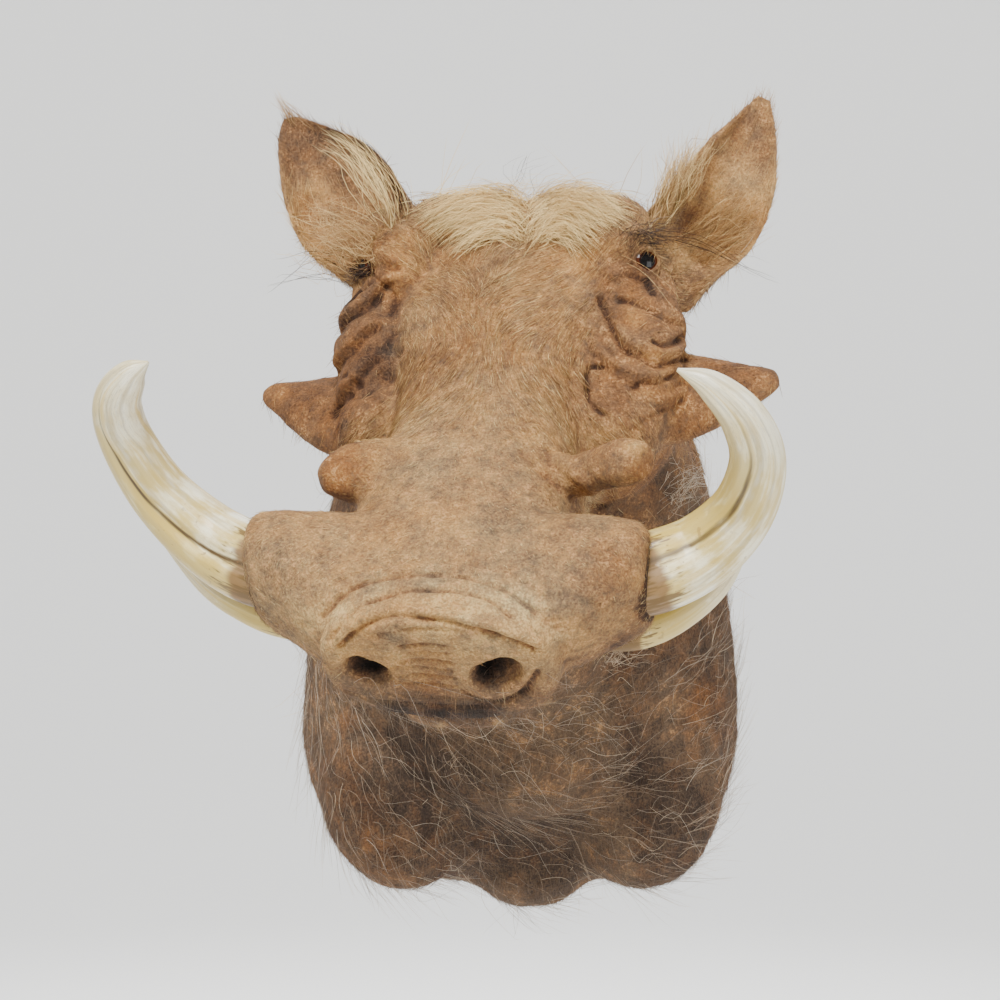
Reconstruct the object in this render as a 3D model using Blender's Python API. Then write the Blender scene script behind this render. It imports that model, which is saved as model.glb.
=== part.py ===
# Warthog shoulder mount, hung on a wall. Metres, +Z up, +X to the right of someone facing it.
# The origin is on the wall, in the middle of the backboard's rear face, and the animal looks along -Y.
# Left and right are the viewer's.
import math

import bmesh
import bpy
import numpy as np
from mathutils import Matrix, Vector
from mathutils.bvhtree import BVHTree

# Driving dimensions
headPitch = math.radians(45)
headTurn = math.radians(11.6)
browPoint = Vector((-0.0114, -0.2185, 0.2385))
eyeSpacing = 0.164
eyeRadius = 0.0135
eyeBack = 0.008
eyeDrop = 0.008
noseReach = 0.296
shoulderHalfWidth = 0.140
backTop = 0.200
backBottom = -0.165
earThickness = 0.006
tuskSides = 16
tuskSteps = 12
tuskFlatness = 0.92
fitGap = 0.0003
formVoxel = 0.0036
hideTriangles = 4900
joinSmoothing = 8
boardThickness = 0.018
boardInset = 0.012
boardSides = 32
hangerWidth = 0.060
hangerHeight = 0.016
hangerThickness = 0.0012
hangerRise = 0.0010
hangerLevel = 0.150
hangerBowInset = 0.013
hangerBend = 0.003
stripMargin = 0.004
teeth = 9
toothWidth = 0.0036
toothDepth = 0.0018
hangerRecess = 0.0035
recessHeight = 0.030
recessDrop = 0.004
recessMargin = 0.003
screwInset = 0.006
screwRise = 0.003
screwHeadRadius = 0.0031
screwHeadHeight = 0.0011
screwShankRadius = 0.0014
screwLength = 0.012
screwSides = 12

# The head's own frame: X across the face, -Y along the snout, Z out of the forehead
headFrame = (Matrix.Translation(browPoint) @ Matrix.Rotation(-headTurn, 4, "Z")
             @ Matrix.Rotation(headPitch, 4, "X"))
wallFrame = Matrix.Identity(4)


def clearScene():
    for thing in list(bpy.data.objects):
        bpy.data.objects.remove(thing, do_unlink=True)


def makeMaterial(name, colour, roughness, metallic=0.0):
    material = bpy.data.materials.new(name)
    material.use_nodes = True
    shader = material.node_tree.nodes["Principled BSDF"]
    shader.inputs["Base Color"].default_value = (*colour, 1)
    shader.inputs["Roughness"].default_value = roughness
    shader.inputs["Metallic"].default_value = metallic
    return material


def addObject(name, bm, material, matrix=wallFrame, parent=None):
    bmesh.ops.recalc_face_normals(bm, faces=bm.faces)
    if bm.calc_volume(signed=True) < 0:
        bmesh.ops.reverse_faces(bm, faces=bm.faces)
    mesh = bpy.data.meshes.new(name)
    bm.to_mesh(mesh)
    bm.free()
    made = bpy.data.objects.new(name, mesh)
    bpy.context.scene.collection.objects.link(made)
    if material:
        mesh.materials.append(material)
    made.parent = parent
    made.matrix_local = matrix
    return made


def asCutter(thing):
    thing.hide_render = True
    thing.display_type = "WIRE"
    return thing


def cutWith(thing, cutter):
    cut = thing.modifiers.new("cut " + cutter.name, "BOOLEAN")
    cut.object = asCutter(cutter)


def joinWith(thing, other):
    joined = thing.modifiers.new("with " + other.name, "BOOLEAN")
    joined.operation = "UNION"
    joined.object = asCutter(other)


def shadeRound(thing, degrees=40):
    thing.data.shade_smooth()
    thing.data.set_sharp_from_angle(angle=math.radians(degrees))


def evaluatedMesh(thing):
    bpy.context.view_layer.update()
    return bpy.data.meshes.new_from_object(thing.evaluated_get(bpy.context.evaluated_depsgraph_get()))


def evenPath(points, count):
    # A smooth curve through hand-set points, read at even steps of its parameter
    points = [Vector(point) for point in points]
    padded = [2 * points[0] - points[1]] + points + [2 * points[-1] - points[-2]]
    spots = []
    for step in range(count):
        place = step / (count - 1) * (len(points) - 1)
        first = min(int(place), len(points) - 2)
        t = place - first
        a, b, c, d = padded[first:first + 4]
        spots.append(0.5 * (2 * b + (c - a) * t + (2 * a - 5 * b + 4 * c - d) * t * t
                            + (3 * b - a - 3 * c + d) * t ** 3))
    return spots


def loftRings(bm, rings, matrix):
    # rings are lists of points of one length: a circle takes the first, and is extruded to the others
    place = bm.verts.layers.int.get("place") or bm.verts.layers.int.new("place")
    fresh = bmesh.ops.create_circle(bm, segments=len(rings[0]), radius=1)["verts"]
    for number, vert in enumerate(fresh):
        vert[place] = number
    edges = list({edge for vert in fresh for edge in vert.link_edges})
    first = edges
    for ring in rings:
        if ring is not rings[0]:
            grown = bmesh.ops.extrude_edge_only(bm, edges=edges)["geom"]
            fresh = {item for item in grown if isinstance(item, bmesh.types.BMVert)}
            edges = list({edge for vert in fresh for edge in vert.link_edges if edge.other_vert(vert) in fresh})
        for vert in fresh:
            vert.co = matrix @ Vector(ring[vert[place]])
    bmesh.ops.contextual_create(bm, geom=first)
    bmesh.ops.contextual_create(bm, geom=edges)


def power(value, exponent):
    return math.copysign(abs(value) ** exponent, value)


def sectionPoint(angle, halfWidth, top, bottom, squareTop, squareBottom, spread):
    # A rounded section: spread widens it toward the bottom
    square = squareTop if math.sin(angle) > 0 else squareBottom
    across = power(math.cos(angle), 2 / square)
    up = power(math.sin(angle), 2 / square)
    middle = (top + bottom) / 2
    return halfWidth * across * (1 - spread * up), middle + (top - bottom) / 2 * up


def addSectionLoft(bm, sections, matrix, sides=40):
    # sections: (place along -Y, half width, top, bottom, squareness of top and bottom, spread)
    rings = []
    for place, *shape in sections:
        ring = []
        for side in range(sides):
            x, z = sectionPoint(2 * math.pi * side / sides, *shape)
            ring.append((x, -place, z))
        rings.append(ring)
    loftRings(bm, rings, matrix)


def addBall(bm, centre, radii, matrix, turn=(0, 0, 0)):
    # centre as (across, forward, up)
    across, forward, up = centre
    place = matrix @ Matrix.Translation((across, -forward, up))
    for angle, axis in zip(turn, "XYZ"):
        place = place @ Matrix.Rotation(math.radians(angle), 4, axis)
    bmesh.ops.create_icosphere(bm, subdivisions=3, radius=1,
                               matrix=place @ Matrix.Diagonal((radii[0], radii[1], radii[2], 1)))


def grooveDepth(turn, grooves):
    # Share of the radius that the grooves take away at this angle round a tusk
    depth = 0
    for centre, width, share in grooves:
        apart = (turn - centre + math.pi) % (2 * math.pi) - math.pi
        depth += share * max(0, 1 - (apart / width) ** 2)
    return depth


def tubeRings(points, radii, flatness, sides, steps, grooves=(), up=Vector((0, 0, 1))):
    # Rings square to a smooth path; radii are spread evenly along it
    spots = evenPath(points, steps)
    widths = evenPath([(radius, 0, 0) for radius in radii], steps)
    rings = []
    for index, spot in enumerate(spots):
        ahead = spots[min(index + 1, steps - 1)] - spots[max(index - 1, 0)]
        ahead.normalize()
        side = ahead.cross(up).normalized()
        rise = side.cross(ahead).normalized()
        radius = widths[index].x
        ring = []
        for number in range(sides):
            turn = 2 * math.pi * number / sides
            reach = radius * (1 - grooveDepth(turn, grooves))
            ring.append(spot + reach * (math.cos(turn) * side + flatness * math.sin(turn) * rise))
        rings.append(ring)
    return rings


# Head and neck

skullSections = [
    (-0.078, 0.030, -0.030, -0.110, 2.0, 2.0, 0.00),
    (-0.068, 0.056, -0.008, -0.135, 2.2, 2.2, 0.00),
    (-0.045, 0.073, 0.006, -0.150, 2.4, 2.4, 0.05),
    (0.000, 0.084, 0.012, -0.160, 2.8, 2.4, 0.08),
    (0.035, 0.086, 0.011, -0.165, 2.8, 2.4, 0.10),
    (0.065, 0.077, 0.008, -0.155, 2.8, 2.4, 0.12),
    (0.095, 0.064, 0.005, -0.135, 2.8, 2.4, 0.12),
    (0.125, 0.060, 0.004, -0.115, 2.8, 2.4, 0.08),
    (0.160, 0.061, 0.004, -0.098, 3.0, 2.4, 0.04),
    (0.200, 0.064, 0.005, -0.086, 3.0, 2.6, 0.02),
    (0.240, 0.064, 0.006, -0.080, 3.0, 2.6, 0.00),
    (0.268, 0.063, 0.005, -0.080, 3.0, 2.6, 0.00),
    (0.286, 0.066, 0.005, -0.086, 2.6, 2.4, 0.00),
    (noseReach - 0.003, 0.066, 0.003, -0.086, 2.6, 2.4, 0.00),
    (noseReach, 0.061, -0.002, -0.080, 2.4, 2.4, 0.00)]

jawSections = [
    (0.000, 0.052, -0.080, -0.160, 2.2, 2.2, 0.0),
    (0.060, 0.056, -0.080, -0.165, 2.2, 2.2, 0.0),
    (0.120, 0.052, -0.070, -0.148, 2.2, 2.2, 0.0),
    (0.180, 0.048, -0.060, -0.130, 2.2, 2.2, 0.0),
    (0.230, 0.047, -0.060, -0.121, 2.4, 2.4, 0.0),
    (0.264, 0.044, -0.062, -0.118, 2.6, 2.6, 0.0),
    (0.280, 0.034, -0.070, -0.112, 2.4, 2.4, 0.0)]

# Along -Y from the wall: the shoulders, then the neck rising into the skull
neckSections = [
    (0.000, shoulderHalfWidth - 0.004, backTop, backBottom, 2.2, 3.0, 0.20),
    (0.008, shoulderHalfWidth, backTop + 0.004, backBottom - 0.004, 2.2, 3.0, 0.20),
    (0.040, shoulderHalfWidth + 0.001, 0.218, -0.168, 2.2, 3.0, 0.20),
    (0.070, shoulderHalfWidth - 0.003, 0.230, -0.155, 2.2, 2.8, 0.20),
    (0.100, 0.132, 0.241, -0.128, 2.2, 2.6, 0.18),
    (0.130, 0.120, 0.251, -0.090, 2.2, 2.4, 0.14),
    (0.160, 0.107, 0.260, -0.045, 2.2, 2.2, 0.10),
    (0.190, 0.092, 0.262, 0.005, 2.2, 2.2, 0.05),
    (0.215, 0.070, 0.250, 0.060, 2.0, 2.0, 0.00)]

# Balls that fill out the head, in its frame: centre (across, forward, up), radii, turn in degrees
headBalls = [
    ((-0.050, 0.025, -0.085), (0.056, 0.080, 0.060), (0, 0, 0)),
    ((0.050, 0.025, -0.085), (0.056, 0.080, 0.060), (0, 0, 0)),
    ((-0.068, -0.012, -0.002), (0.026, 0.034, 0.019), (0, -12, -15)),
    ((0.068, -0.012, -0.002), (0.026, 0.034, 0.019), (0, 12, 15)),
    ((-0.081, 0.003, -0.018), (0.020, 0.016, 0.018), (0, 0, 0)),
    ((0.087, 0.006, -0.016), (0.021, 0.018, 0.018), (0, 0, 0)),
    ((-0.082, 0.020, -0.026), (0.025, 0.017, 0.024), (0, 0, 20)),
    ((0.088, 0.026, -0.026), (0.027, 0.019, 0.024), (0, 0, -20)),
    ((-0.079, 0.043, -0.034), (0.029, 0.019, 0.028), (0, 0, 25)),
    ((0.086, 0.051, -0.030), (0.030, 0.017, 0.027), (0, 0, -25)),
    ((-0.074, 0.066, -0.044), (0.030, 0.018, 0.030), (0, 0, 25)),
    ((0.082, 0.073, -0.038), (0.029, 0.016, 0.029), (0, 0, -25)),
    ((-0.070, 0.092, -0.052), (0.028, 0.030, 0.030), (0, 0, 0)),
    ((0.072, 0.096, -0.050), (0.030, 0.030, 0.030), (0, 0, 0))]

# Shoulder points, brisket and throat, as (across, out from the wall, up)
bodyBalls = [
    ((-0.080, 0.075, -0.092), (0.056, 0.058, 0.076), (0, 0, 0)),
    ((0.080, 0.075, -0.092), (0.056, 0.058, 0.076), (0, 0, 0)),
    ((-0.086, 0.028, -0.136), (0.034, 0.034, 0.030), (0, 0, 0)),
    ((0.086, 0.028, -0.132), (0.034, 0.034, 0.028), (0, 0, 0)),
    ((0.006, 0.042, -0.150), (0.044, 0.048, 0.034), (0, 0, 0)),
    ((0.000, 0.170, 0.045), (0.072, 0.080, 0.085), (0, 0, 0)),
    ((0.000, 0.125, -0.030), (0.085, 0.055, 0.085), (0, 0, 0))]

# The mane: two humps on the crown, parted in the middle, and a ridge down the back of the neck
maneBalls = [
    ((-0.036, 0.176, 0.262), (0.040, 0.030, 0.024), (0, 12, 0)),
    ((0.040, 0.176, 0.263), (0.042, 0.030, 0.024), (0, -12, 0)),
    ((0.000, 0.150, 0.262), (0.046, 0.034, 0.024), (0, 0, 0)),
    ((0.000, 0.105, 0.240), (0.040, 0.050, 0.026), (-14, 0, 0)),
    ((0.000, 0.050, 0.214), (0.034, 0.046, 0.026), (-20, 0, 0))]

# Warts, as paths in the head's frame (across, forward, up) with radii from root to tip
wartPaths = {
    "left cheek": ([(-0.070, 0.070, -0.062), (-0.100, 0.064, -0.064), (-0.130, 0.055, -0.063),
                    (-0.156, 0.046, -0.060)], (0.038, 0.032, 0.020, 0.007), 0.60),
    "right cheek": ([(0.074, 0.058, -0.060), (0.106, 0.052, -0.062), (0.140, 0.045, -0.062),
                     (0.167, 0.038, -0.060)], (0.044, 0.036, 0.022, 0.008), 0.58),
    "left snout": ([(-0.042, 0.164, -0.022), (-0.060, 0.168, -0.014), (-0.074, 0.175, -0.009),
                    (-0.083, 0.180, -0.008)], (0.026, 0.022, 0.016, 0.009), 0.85),
    "right snout": ([(0.048, 0.172, -0.022), (0.070, 0.178, -0.006), (0.090, 0.184, 0.006),
                     (0.104, 0.190, 0.012)], (0.027, 0.024, 0.019, 0.011), 0.85)}

# The lip's cuffs that hold the tusks: rings across the snout, (across, rear, front, top, bottom)
cuffSections = [
    (-0.116, 0.212, 0.244, -0.002, -0.054),
    (-0.111, 0.204, 0.254, 0.005, -0.062),
    (-0.090, 0.202, 0.268, 0.008, -0.068),
    (-0.060, 0.200, 0.284, 0.007, -0.074),
    (0.000, 0.196, 0.288, 0.002, -0.078),
    (0.060, 0.200, 0.284, 0.007, -0.074),
    (0.088, 0.206, 0.270, 0.008, -0.068),
    (0.107, 0.212, 0.256, 0.005, -0.062),
    (0.112, 0.219, 0.248, -0.002, -0.054)]

# Tusks, in the head's frame: (across, forward, up) from inside the socket to the tip, then radii
tuskPaths = {
    "upper_left_tusk": ([(-0.088, 0.232, -0.030), (-0.116, 0.224, -0.031), (-0.146, 0.209, -0.026),
                         (-0.173, 0.196, -0.002), (-0.186, 0.191, 0.036), (-0.182, 0.193, 0.070),
                         (-0.168, 0.190, 0.092)],
                        (0.0220, 0.0235, 0.0215, 0.0180, 0.0152, 0.0125, 0.0050)),
    "upper_right_tusk": ([(0.086, 0.236, -0.030), (0.112, 0.228, -0.031), (0.138, 0.216, -0.026),
                          (0.161, 0.209, -0.002), (0.172, 0.210, 0.036), (0.166, 0.211, 0.070),
                          (0.149, 0.205, 0.092)],
                         (0.0215, 0.0230, 0.0210, 0.0178, 0.0150, 0.0115, 0.0045)),
    "lower_left_tusk": ([(-0.076, 0.233, -0.070), (-0.106, 0.228, -0.074), (-0.131, 0.221, -0.071),
                         (-0.155, 0.213, -0.059), (-0.179, 0.205, -0.025)],
                        (0.0105, 0.0105, 0.0090, 0.0065, 0.0018)),
    "lower_right_tusk": ([(0.076, 0.236, -0.072), (0.100, 0.230, -0.076), (0.122, 0.220, -0.073),
                          (0.144, 0.207, -0.061), (0.164, 0.202, -0.029)],
                         (0.0110, 0.0110, 0.0095, 0.0070, 0.0018))}

# Grooves run the length of the upper tusks: angle round the tusk, half width, share of the radius
tuskGrooves = {
    "upper_left_tusk": [(math.radians(140), 0.40, 0.14), (math.radians(320), 0.40, 0.10)],
    "upper_right_tusk": [(math.radians(40), 0.40, 0.14), (math.radians(-20), 0.36, 0.10),
                         (math.radians(220), 0.40, 0.10)],
    "lower_left_tusk": [],
    "lower_right_tusk": []}

# Ears, as edges in the wall's frame seen from the front: (across, up) from root to tip, then the
# distance out from the wall along the middle and how deep the cup is
leftEar = {
    "outer": [(-0.096, 0.224), (-0.118, 0.240), (-0.139, 0.259), (-0.150, 0.284), (-0.155, 0.306),
              (-0.157, 0.328), (-0.155, 0.345)],
    "inner": [(-0.062, 0.250), (-0.068, 0.276), (-0.078, 0.295), (-0.090, 0.312), (-0.107, 0.328),
              (-0.128, 0.338), (-0.151, 0.346)],
    "out": [0.165, 0.160, 0.152, 0.144, 0.136, 0.128, 0.120],
    "cup": [0.030, 0.030, 0.027, 0.022, 0.016, 0.009, 0.002]}
rightEar = {
    "outer": [(0.102, 0.212), (0.122, 0.236), (0.142, 0.252), (0.155, 0.272), (0.162, 0.298),
              (0.164, 0.328), (0.161, 0.356)],
    "inner": [(0.066, 0.250), (0.076, 0.272), (0.092, 0.290), (0.107, 0.307), (0.124, 0.327),
              (0.141, 0.344), (0.156, 0.358)],
    "out": [0.172, 0.166, 0.158, 0.150, 0.142, 0.134, 0.126],
    "cup": [0.030, 0.030, 0.027, 0.022, 0.016, 0.009, 0.002]}
earSteps = 10
earHalfPoints = 7

# Sculpted lines in the head's frame: points (across, forward, up), reach, height
creases = [
    ([(-0.100, 0.012, -0.010), (-0.082, 0.014, 0.004), (-0.064, 0.010, 0.008)], 0.006, -0.004),
    ([(-0.106, 0.031, -0.026), (-0.088, 0.033, -0.004), (-0.066, 0.028, 0.006)], 0.007, -0.005),
    ([(-0.106, 0.055, -0.040), (-0.088, 0.057, -0.016), (-0.066, 0.050, 0.004)], 0.007, -0.005),
    ([(-0.100, 0.080, -0.048), (-0.082, 0.080, -0.022), (-0.062, 0.070, 0.000)], 0.007, -0.004),
    ([(0.106, 0.015, -0.012), (0.086, 0.017, 0.004), (0.068, 0.012, 0.008)], 0.006, -0.004),
    ([(0.112, 0.040, -0.026), (0.092, 0.041, -0.002), (0.070, 0.034, 0.006)], 0.007, -0.005),
    ([(0.110, 0.063, -0.034), (0.094, 0.064, -0.012), (0.072, 0.054, 0.004)], 0.007, -0.005),
    ([(0.104, 0.086, -0.044), (0.090, 0.086, -0.022), (0.070, 0.074, 0.000)], 0.007, -0.004)]
nostrils = [
    ([(-0.046, noseReach, -0.036), (-0.034, noseReach, -0.042)], 0.013, -0.011),
    ([(0.040, noseReach, -0.036), (0.026, noseReach, -0.042)], 0.013, -0.011)]
noseRidges = [
    ([(-0.056, 0.276, -0.004), (-0.030, 0.272, 0.002), (0.003, 0.270, 0.003), (0.034, 0.272, 0.002),
      (0.056, 0.276, -0.004)], 0.006, 0.0025),
    ([(-0.050, 0.262, 0.000), (-0.028, 0.259, 0.002), (0.002, 0.257, 0.003), (0.032, 0.259, 0.002),
      (0.052, 0.262, 0.000)], 0.005, 0.0018)]
mouthLine = [
    ([(-0.085, 0.240, -0.078), (-0.070, 0.266, -0.084), (-0.040, 0.280, -0.088), (0.000, 0.284, -0.090),
      (0.040, 0.280, -0.088), (0.070, 0.266, -0.084), (0.088, 0.236, -0.078)], 0.008, -0.006)]
chestValley = [((0.006, 0.150, -0.040), (0.004, 0.140, -0.080), (0.004, 0.120, -0.115)), 0.030, -0.012]


def earRings(ear, thickness):
    # Each ring is a crescent: the hollow front from the outer edge to the inner, then back behind
    outer = evenPath([(across, 0, up) for across, up in ear["outer"]], earSteps)
    inner = evenPath([(across, 0, up) for across, up in ear["inner"]], earSteps)
    out = evenPath([(value, 0, 0) for value in ear["out"]], earSteps)
    cup = evenPath([(value, 0, 0) for value in ear["cup"]], earSteps)
    rings = []
    for step in range(earSteps):
        half = (inner[step] - outer[step]) / 2
        middle = (inner[step] + outer[step]) / 2
        outward = half.normalized()
        front = []
        back = []
        for index in range(earHalfPoints):
            angle = math.pi * index / (earHalfPoints - 1)
            flat = middle - half * math.cos(angle)
            hollow = cup[step].x * math.sin(angle)
            edge = thickness * (0.5 + 0.5 * math.sin(angle))
            front.append(flat + Vector((0, -out[step].x + hollow - edge / 2, 0)))
            back.append(flat - outward * math.cos(angle) * thickness * 0.35
                        + Vector((0, -out[step].x + hollow + edge / 2, 0)))
        rings.append(front + back[::-1])
    return rings


def addWart(bm, path, radii, flatness):
    spots = [(across, -forward, up) for across, forward, up in path]
    loftRings(bm, tubeRings(spots, radii, flatness, 20, 9), headFrame)


def addCuffs(bm, sides=28):
    rings = []
    for across, rear, front, top, bottom in cuffSections:
        ring = []
        for side in range(sides):
            angle = 2 * math.pi * side / sides
            forward = (rear + front) / 2 + (front - rear) / 2 * power(math.cos(angle), 0.8)
            up = (top + bottom) / 2 + (top - bottom) / 2 * power(math.sin(angle), 0.8)
            ring.append((across, -forward, up))
        rings.append(ring)
    loftRings(bm, rings, headFrame)


def remeshed(thing, voxel, smoothing):
    # Overlapping closed shapes become one skin, whose joins are then softened
    remesh = thing.modifiers.new("one skin", "REMESH")
    remesh.mode = "VOXEL"
    remesh.voxel_size = voxel
    soften = thing.modifiers.new("soft joins", "SMOOTH")
    soften.factor = 0.5
    soften.iterations = smoothing
    mesh = evaluatedMesh(thing)
    bpy.data.objects.remove(thing, do_unlink=True)
    return mesh


def pushLines(mesh, lines, matrix):
    # Moves the skin in or out along its normals near each line
    tree = BVHTree.FromObject(mesh, bpy.context.evaluated_depsgraph_get())
    count = len(mesh.data.vertices)
    places = np.empty(count * 3, dtype=np.float32)
    normals = np.empty(count * 3, dtype=np.float32)
    mesh.data.vertices.foreach_get("co", places)
    mesh.data.vertex_normals.foreach_get("vector", normals)
    places = places.reshape(-1, 3)
    normals = normals.reshape(-1, 3)
    shift = np.zeros(count, dtype=np.float32)
    for points, reach, height in lines:
        steps = 4 * len(points)
        path = [matrix @ Vector((spot.x, -spot.y, spot.z)) for spot in evenPath(points, steps)]
        path = np.array([tree.find_nearest(spot)[0] for spot in path], dtype=np.float32)
        nearest = np.full(count, np.inf, dtype=np.float32)
        for start, end in zip(path[:-1], path[1:]):
            run = end - start
            along = np.clip((places - start) @ run / max(run @ run, 1e-12), 0, 1)
            nearest = np.minimum(nearest, np.linalg.norm(places - start - along[:, None] * run, axis=1))
        fade = np.clip(1 - (nearest / reach) ** 2, 0, 1)
        shift += height * fade * fade
    mesh.data.vertices.foreach_set("co", (places + shift[:, None] * normals).ravel())
    mesh.data.update()


def makeHide(material):
    bm = bmesh.new()
    addSectionLoft(bm, skullSections, headFrame)
    addSectionLoft(bm, jawSections, headFrame)
    addSectionLoft(bm, neckSections, wallFrame)
    addCuffs(bm)
    for centre, radii, turn in headBalls:
        addBall(bm, centre, radii, headFrame, turn)
    for centre, radii, turn in bodyBalls + maneBalls:
        addBall(bm, centre, radii, wallFrame, turn)
    for path, radii, flatness in wartPaths.values():
        addWart(bm, path, radii, flatness)
    form = remeshed(addObject("lumps", bm, None), formVoxel, joinSmoothing)
    hide = bpy.data.objects.new("hide", form)
    bpy.context.scene.collection.objects.link(hide)
    form.materials.append(material)
    pushLines(hide, creases + nostrils + noseRidges + mouthLine, headFrame)
    pushLines(hide, [chestValley], wallFrame)
    thin = hide.modifiers.new("fewer faces", "DECIMATE")
    thin.ratio = hideTriangles / (2 * len(form.polygons))
    thin.use_collapse_triangulate = True
    for name, ear in (("left ear", leftEar), ("right ear", rightEar)):
        bm = bmesh.new()
        loftRings(bm, earRings(ear, earThickness), wallFrame)
        joinWith(hide, addObject(name, bm, None))
    return hide


# Tusks and eyes

def makeTusk(name, material, parent, grow=0.0):
    path, radii = tuskPaths[name]
    spots = [(across, -forward, up) for across, forward, up in path]
    rings = tubeRings(spots, [radius + grow for radius in radii], tuskFlatness, tuskSides, tuskSteps,
                      tuskGrooves[name])
    if grow:
        inward = (rings[0][0] - rings[1][0]).normalized() * grow
        rings[0] = [point + inward for point in rings[0]]
    bm = bmesh.new()
    loftRings(bm, rings, wallFrame)
    tusk = addObject(name + (" socket" if grow else ""), bm, material, parent=parent)
    shadeRound(tusk, 50)
    return tusk


def makeEye(name, side, material, parent, grow=0.0):
    bm = bmesh.new()
    bmesh.ops.create_uvsphere(bm, u_segments=16, v_segments=8, radius=eyeRadius + grow)
    place = Matrix.Translation((side * eyeSpacing / 2, eyeBack, -eyeDrop))
    eye = addObject(name + (" socket" if grow else ""), bm, material, place, parent)
    shadeRound(eye)
    return eye


# Backboard and hanger

def boardOutline(inset):
    points = []
    for side in range(boardSides):
        angle = 2 * math.pi * side / boardSides
        points.append(sectionPoint(angle, shoulderHalfWidth - inset, backTop - inset,
                                   backBottom + inset, 2.2, 3.0, 0.20))
    return points


def addPlate(bm, outline, front, back):
    loftRings(bm, [[(x, y, z) for x, z in outline] for y in (front, back)], wallFrame)


def addBlock(bm, centre, size):
    bmesh.ops.create_cube(bm, size=1, matrix=Matrix.Translation(centre) @ Matrix.Diagonal((*size, 1)))


def makeBackboard(material):
    bm = bmesh.new()
    addPlate(bm, boardOutline(boardInset), -boardThickness, 0)
    board = addObject("backboard", bm, material)
    recess = bmesh.new()
    addBlock(recess, (0, 0, hangerLevel - recessDrop),
             (hangerWidth + 2 * recessMargin, 2 * hangerRecess, recessHeight))
    cutWith(board, addObject("hanger recess", recess, None))
    return board


def makeBoardPocket():
    bm = bmesh.new()
    addPlate(bm, boardOutline(boardInset - fitGap), -boardThickness - fitGap, boardThickness)
    return addObject("board pocket", bm, None)


def makeHanger(material):
    # A flat strip with a toothed lower edge, bowed away from the board between its feet
    top = hangerLevel + hangerHeight / 2
    low = hangerLevel - hangerHeight / 2 + stripMargin
    outline = [(-hangerWidth / 2, top), (-hangerWidth / 2, low)]
    for tooth in range(teeth):
        left = (tooth - teeth / 2) * toothWidth
        outline.append((left, low))
        outline.append((left + toothWidth / 2, low + toothDepth))
    outline += [(teeth / 2 * toothWidth, low), (hangerWidth / 2, low), (hangerWidth / 2, top)]
    bowTurn = hangerWidth / 2 - hangerBowInset
    bm = bmesh.new()
    corners = [bm.verts.new((x, -hangerRecess + fitGap, z)) for x, z in outline]
    bm.faces.new(corners)
    for place in (-bowTurn, bowTurn):
        for side in (place, place - math.copysign(hangerBend, place)):
            bmesh.ops.bisect_plane(bm, geom=bm.verts[:] + bm.edges[:] + bm.faces[:],
                                   plane_co=(side, 0, 0), plane_no=(1, 0, 0))
    for vert in bm.verts:
        if abs(vert.co.x) < bowTurn - hangerBend / 2:
            vert.co.y += hangerRise
    shell = bmesh.ops.extrude_face_region(bm, geom=bm.faces[:])
    for part in shell["geom"]:
        if isinstance(part, bmesh.types.BMVert):
            part.co.y += hangerThickness
    bmesh.ops.triangulate(bm, faces=bm.faces)
    return addObject("hanger", bm, material)


def screwProfile(grow):
    front = -hangerRecess + fitGap + hangerThickness + fitGap
    return [(0, front + screwHeadHeight + grow), (screwHeadRadius * 0.7 + grow, front + screwHeadHeight + grow),
            (screwHeadRadius + grow, front + screwHeadHeight * 0.4),
            (screwHeadRadius + grow, front - grow / 2), (screwShankRadius + grow, front - grow / 2),
            (screwShankRadius + grow, front - screwLength * 0.75), (0, front - screwLength - grow)]


def makeScrew(name, x, material, grow=0.0):
    bm = bmesh.new()
    profile = screwProfile(grow)
    level = hangerLevel + screwRise
    rings = []
    for radius, y in profile[1:-1]:
        rings.append([(x + radius * math.cos(turn), y, level + radius * math.sin(turn))
                      for turn in (2 * math.pi * step / screwSides for step in range(screwSides))])
    tip = profile[-1][1]
    rings.append([(x + (px - x) * 0.15, tip, level + (pz - level) * 0.15)
                  for px, py, pz in rings[-1]])
    loftRings(bm, rings, wallFrame)
    screw = addObject(name + (" hole" if grow else ""), bm, material)
    shadeRound(screw)
    return screw


def main():
    clearScene()
    headEmpty = bpy.data.objects.new("head frame", None)
    bpy.context.scene.collection.objects.link(headEmpty)
    headEmpty.matrix_world = headFrame

    hideMaterial = makeMaterial("hide", (0.34, 0.23, 0.14), 0.85)
    tuskMaterial = makeMaterial("ivory", (0.80, 0.71, 0.54), 0.40)
    eyeMaterial = makeMaterial("glass_eye", (0.03, 0.015, 0.01), 0.05)
    boardMaterial = makeMaterial("plywood", (0.52, 0.37, 0.21), 0.75)
    steelMaterial = makeMaterial("zinc_steel", (0.62, 0.62, 0.60), 0.35, 1.0)

    hide = makeHide(hideMaterial)
    cutWith(hide, makeBoardPocket())
    board = makeBackboard(boardMaterial)
    hanger = makeHanger(steelMaterial)
    for name, side in (("hanger_screw_left", -1), ("hanger_screw_right", 1)):
        x = side * (hangerWidth / 2 - screwInset)
        makeScrew(name, x, steelMaterial)
        hole = makeScrew(name, x, None, fitGap)
        cutWith(board, hole)
        cutWith(hanger, hole)
    for name in tuskPaths:
        makeTusk(name, tuskMaterial, headEmpty)
        cutWith(hide, makeTusk(name, None, headEmpty, fitGap))
    for name, side in (("left_eye", -1), ("right_eye", 1)):
        makeEye(name, side, eyeMaterial, headEmpty)
        cutWith(hide, makeEye(name, side, None, headEmpty, fitGap))


main()
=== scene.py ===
# Warthog shoulder mount on a wall. Metres, +Z up, the wall at y 0, the animal looks along -Y.
# Left and right are the viewer's.
import itertools
import math

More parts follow.
